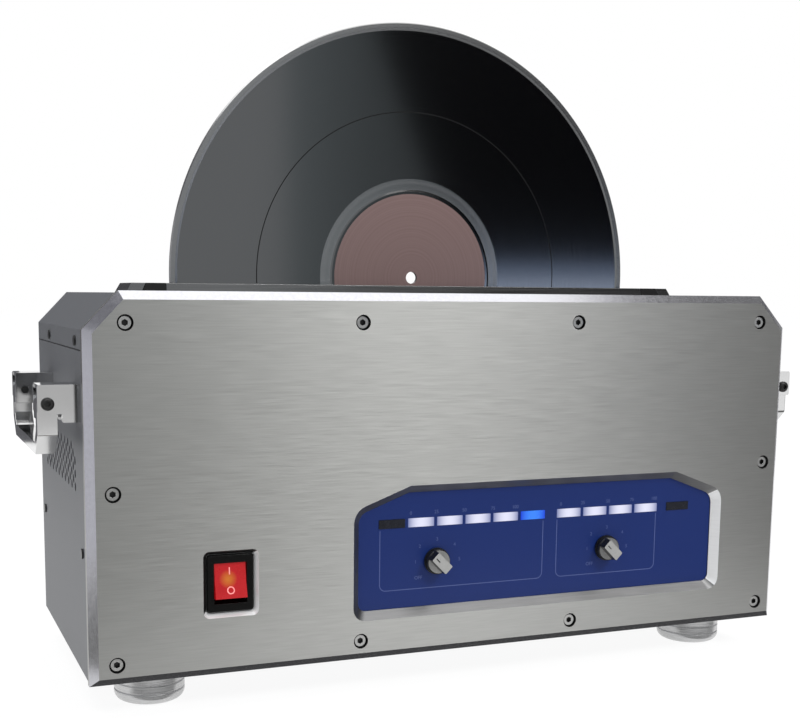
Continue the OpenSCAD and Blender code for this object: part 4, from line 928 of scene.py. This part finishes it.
POINTER_AT = (3.1, -0.5)  # Along and across a knob's ridge from the knob's middle
POINTER_HALF = (1.5, 0.3)
SEAM_HALF = 0.35


def arc(centre_at, radius, start, end, count=9):
    """Points of an arc, from a start angle to an end angle in degrees."""
    angle = np.radians(np.linspace(start, end, count))
    return np.stack([centre_at[0] + radius * np.cos(angle),
                     centre_at[1] + radius * np.sin(angle)], -1)


def ribbon(name, path, width, y):
    """Flat line p(i, s) = path(i) + s n(i) width / 2, with s at -1 and 1 and n the normal of a path
    of x and z in millimetres, on a plane at y."""
    path = np.asarray(path, float)
    run = np.gradient(path, axis=0)
    run /= np.linalg.norm(run, axis=1, keepdims=True)
    side = np.stack([-run[:, 1], run[:, 0]], -1) * width / 2
    flat = np.stack([path - side, path + side], 1)
    points = np.insert(flat, 1, y, axis=2) * MM + np.array(at(0, 0, 0))
    return surface(name, points)


def u_frame(left, right):
    """Path down one side, round two corners and up the other side."""
    low, high = FRAME_HEIGHTS
    corner = FRAME_CORNER
    return np.concatenate([[(left, high)],
                           arc((left + corner, low + corner), corner, 180, 270),
                           arc((right - corner, low + corner), corner, 270, 360),
                           [(right, high)]])


def lettered(text, x, z, y):
    """Mesh of a text, centred at x and z on a plane that faces forwards."""
    curve = bpy.data.curves.new("text", "FONT")
    curve.body = text
    curve.size = LETTER_HEIGHT * MM / FONT_CAPITAL
    curve.align_x = "CENTER"
    curve.align_y = "CENTER"
    holder = placed("text", curve)
    depsgraph = bpy.context.evaluated_depsgraph_get()
    mesh = bpy.data.meshes.new_from_object(holder.evaluated_get(depsgraph))
    bpy.data.objects.remove(holder)
    bpy.data.curves.remove(curve)
    upright = Matrix.Rotation(math.radians(90), 4, "X")
    mesh.transform(Matrix.Translation(at(x, y, z)) @ upright)
    return mesh


def make_fascia_print():
    """Fine lines round each dial, the scale over the light bars and the numbers round each knob."""
    y = FASCIA_Y - PRINT_LIFT
    meshes = [ribbon("frame_line", u_frame(*sides), LINE_WIDTH, y) for sides in FRAMES]
    for places in SCALE_PLACES:
        meshes += [lettered(text, x, SCALE_Z, y) for text, x in zip(SCALE_TEXTS, places)]
    for knob in ("wash_knob", "dry_knob"):
        x, _, z = centre(knob)
        meshes += [lettered(text, x + right, z + up, y)
                   for text, (right, up) in zip(DIAL_TEXTS, DIAL_PLACES)]
    new_piece("fascia_print", merged("fascia_print", meshes), fascia_print, "control_fascia")


def face_place(node, x, z):
    """Where a line from the front at x and z first meets a node, and the face's normal there."""
    solid = bmesh.new()
    solid.from_mesh(frame["nodes"][node].data)
    start = at(x, -60, z)
    place, normal, _, _ = BVHTree.FromBMesh(solid).ray_cast(start, Vector((0, 1, 0)))
    solid.free()
    return np.array(place), np.array(normal)


def on_face(node, x, z, points):
    """Carries flat points, rows by columns of right and up in millimetres, on to the face that is
    met at x and z: right stays along x, up lies in the face, and all stand just proud of it."""
    place, normal = face_place(node, x, z)
    right = np.array((1.0, 0.0, 0.0))
    up = np.cross(right, normal)
    up *= np.sign(up[2])
    flat = points[..., :1] * right + points[..., 1:] * up
    return place + MM * (flat + MARK_LIFT * normal)


def make_rocker_marks():
    """The bar, p(i, j) = (i w, j h) with i and j at -1 and 1, and the ring, p(r, a) = r (cos a,
    sin a), on the rocker's two halves."""
    width, height = BAR_HALF
    bar = np.array([[(-width, j * height), (width, j * height)] for j in (-1, 1)])
    turn = np.linspace(0, FULL_TURN, 40)
    circle = np.stack([np.cos(turn), np.sin(turn)], -1)
    rings = np.stack([radius * circle for radius in RING_RADII])
    meshes = [surface("bar_mark", on_face("power_rocker", *BAR_AT, bar)),
              surface("ring_mark", on_face("power_rocker", *RING_AT, rings))]
    new_piece("rocker_marks", merged("rocker_marks", meshes), rocker_mark, "power_rocker")


def make_seam_shadow():
    """Painted shadow of the seam under the cover: on each side wall of the case a dark flat strip,
    p(i, j), from the cover's front to its back and half its width below and above the seam."""
    low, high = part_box("top_cover")
    half = SEAM_HALF * MM
    meshes = []
    for x in (low.x - PRINT_LIFT * MM, high.x + PRINT_LIFT * MM):
        rows = [[(x, y, low.z + j * half) for y in (low.y, high.y)] for j in (-1, 1)]
        meshes.append(surface("seam_shadow", np.array(rows)))
    new_piece("seam_shadow", merged("seam_shadow", meshes), switch_black, "top_cover")


def make_knob_mark(knob):
    """Dark pointer line on the end of a knob's ridge, p(i, j) = middle + i l along + j w across,
    with i and j at -1 and 1."""
    x, _, z = centre(knob)
    along = np.array((-1.0, 1.0)) / math.sqrt(2)
    across = np.array((1.0, 1.0)) / math.sqrt(2)
    middle = POINTER_AT[0] * along + POINTER_AT[1] * across
    length, width = POINTER_HALF
    ends = np.array([[middle + i * along * length + j * across * width for j in (-1, 1)]
                     for i in (-1, 1)])
    name = knob + "_mark"
    new_piece(name, surface(name, on_face(knob, x, z, ends)), knob_black, knob)


make_fascia_print()
make_rocker_marks()
make_seam_shadow()
make_knob_mark("wash_knob")
make_knob_mark("dry_knob")
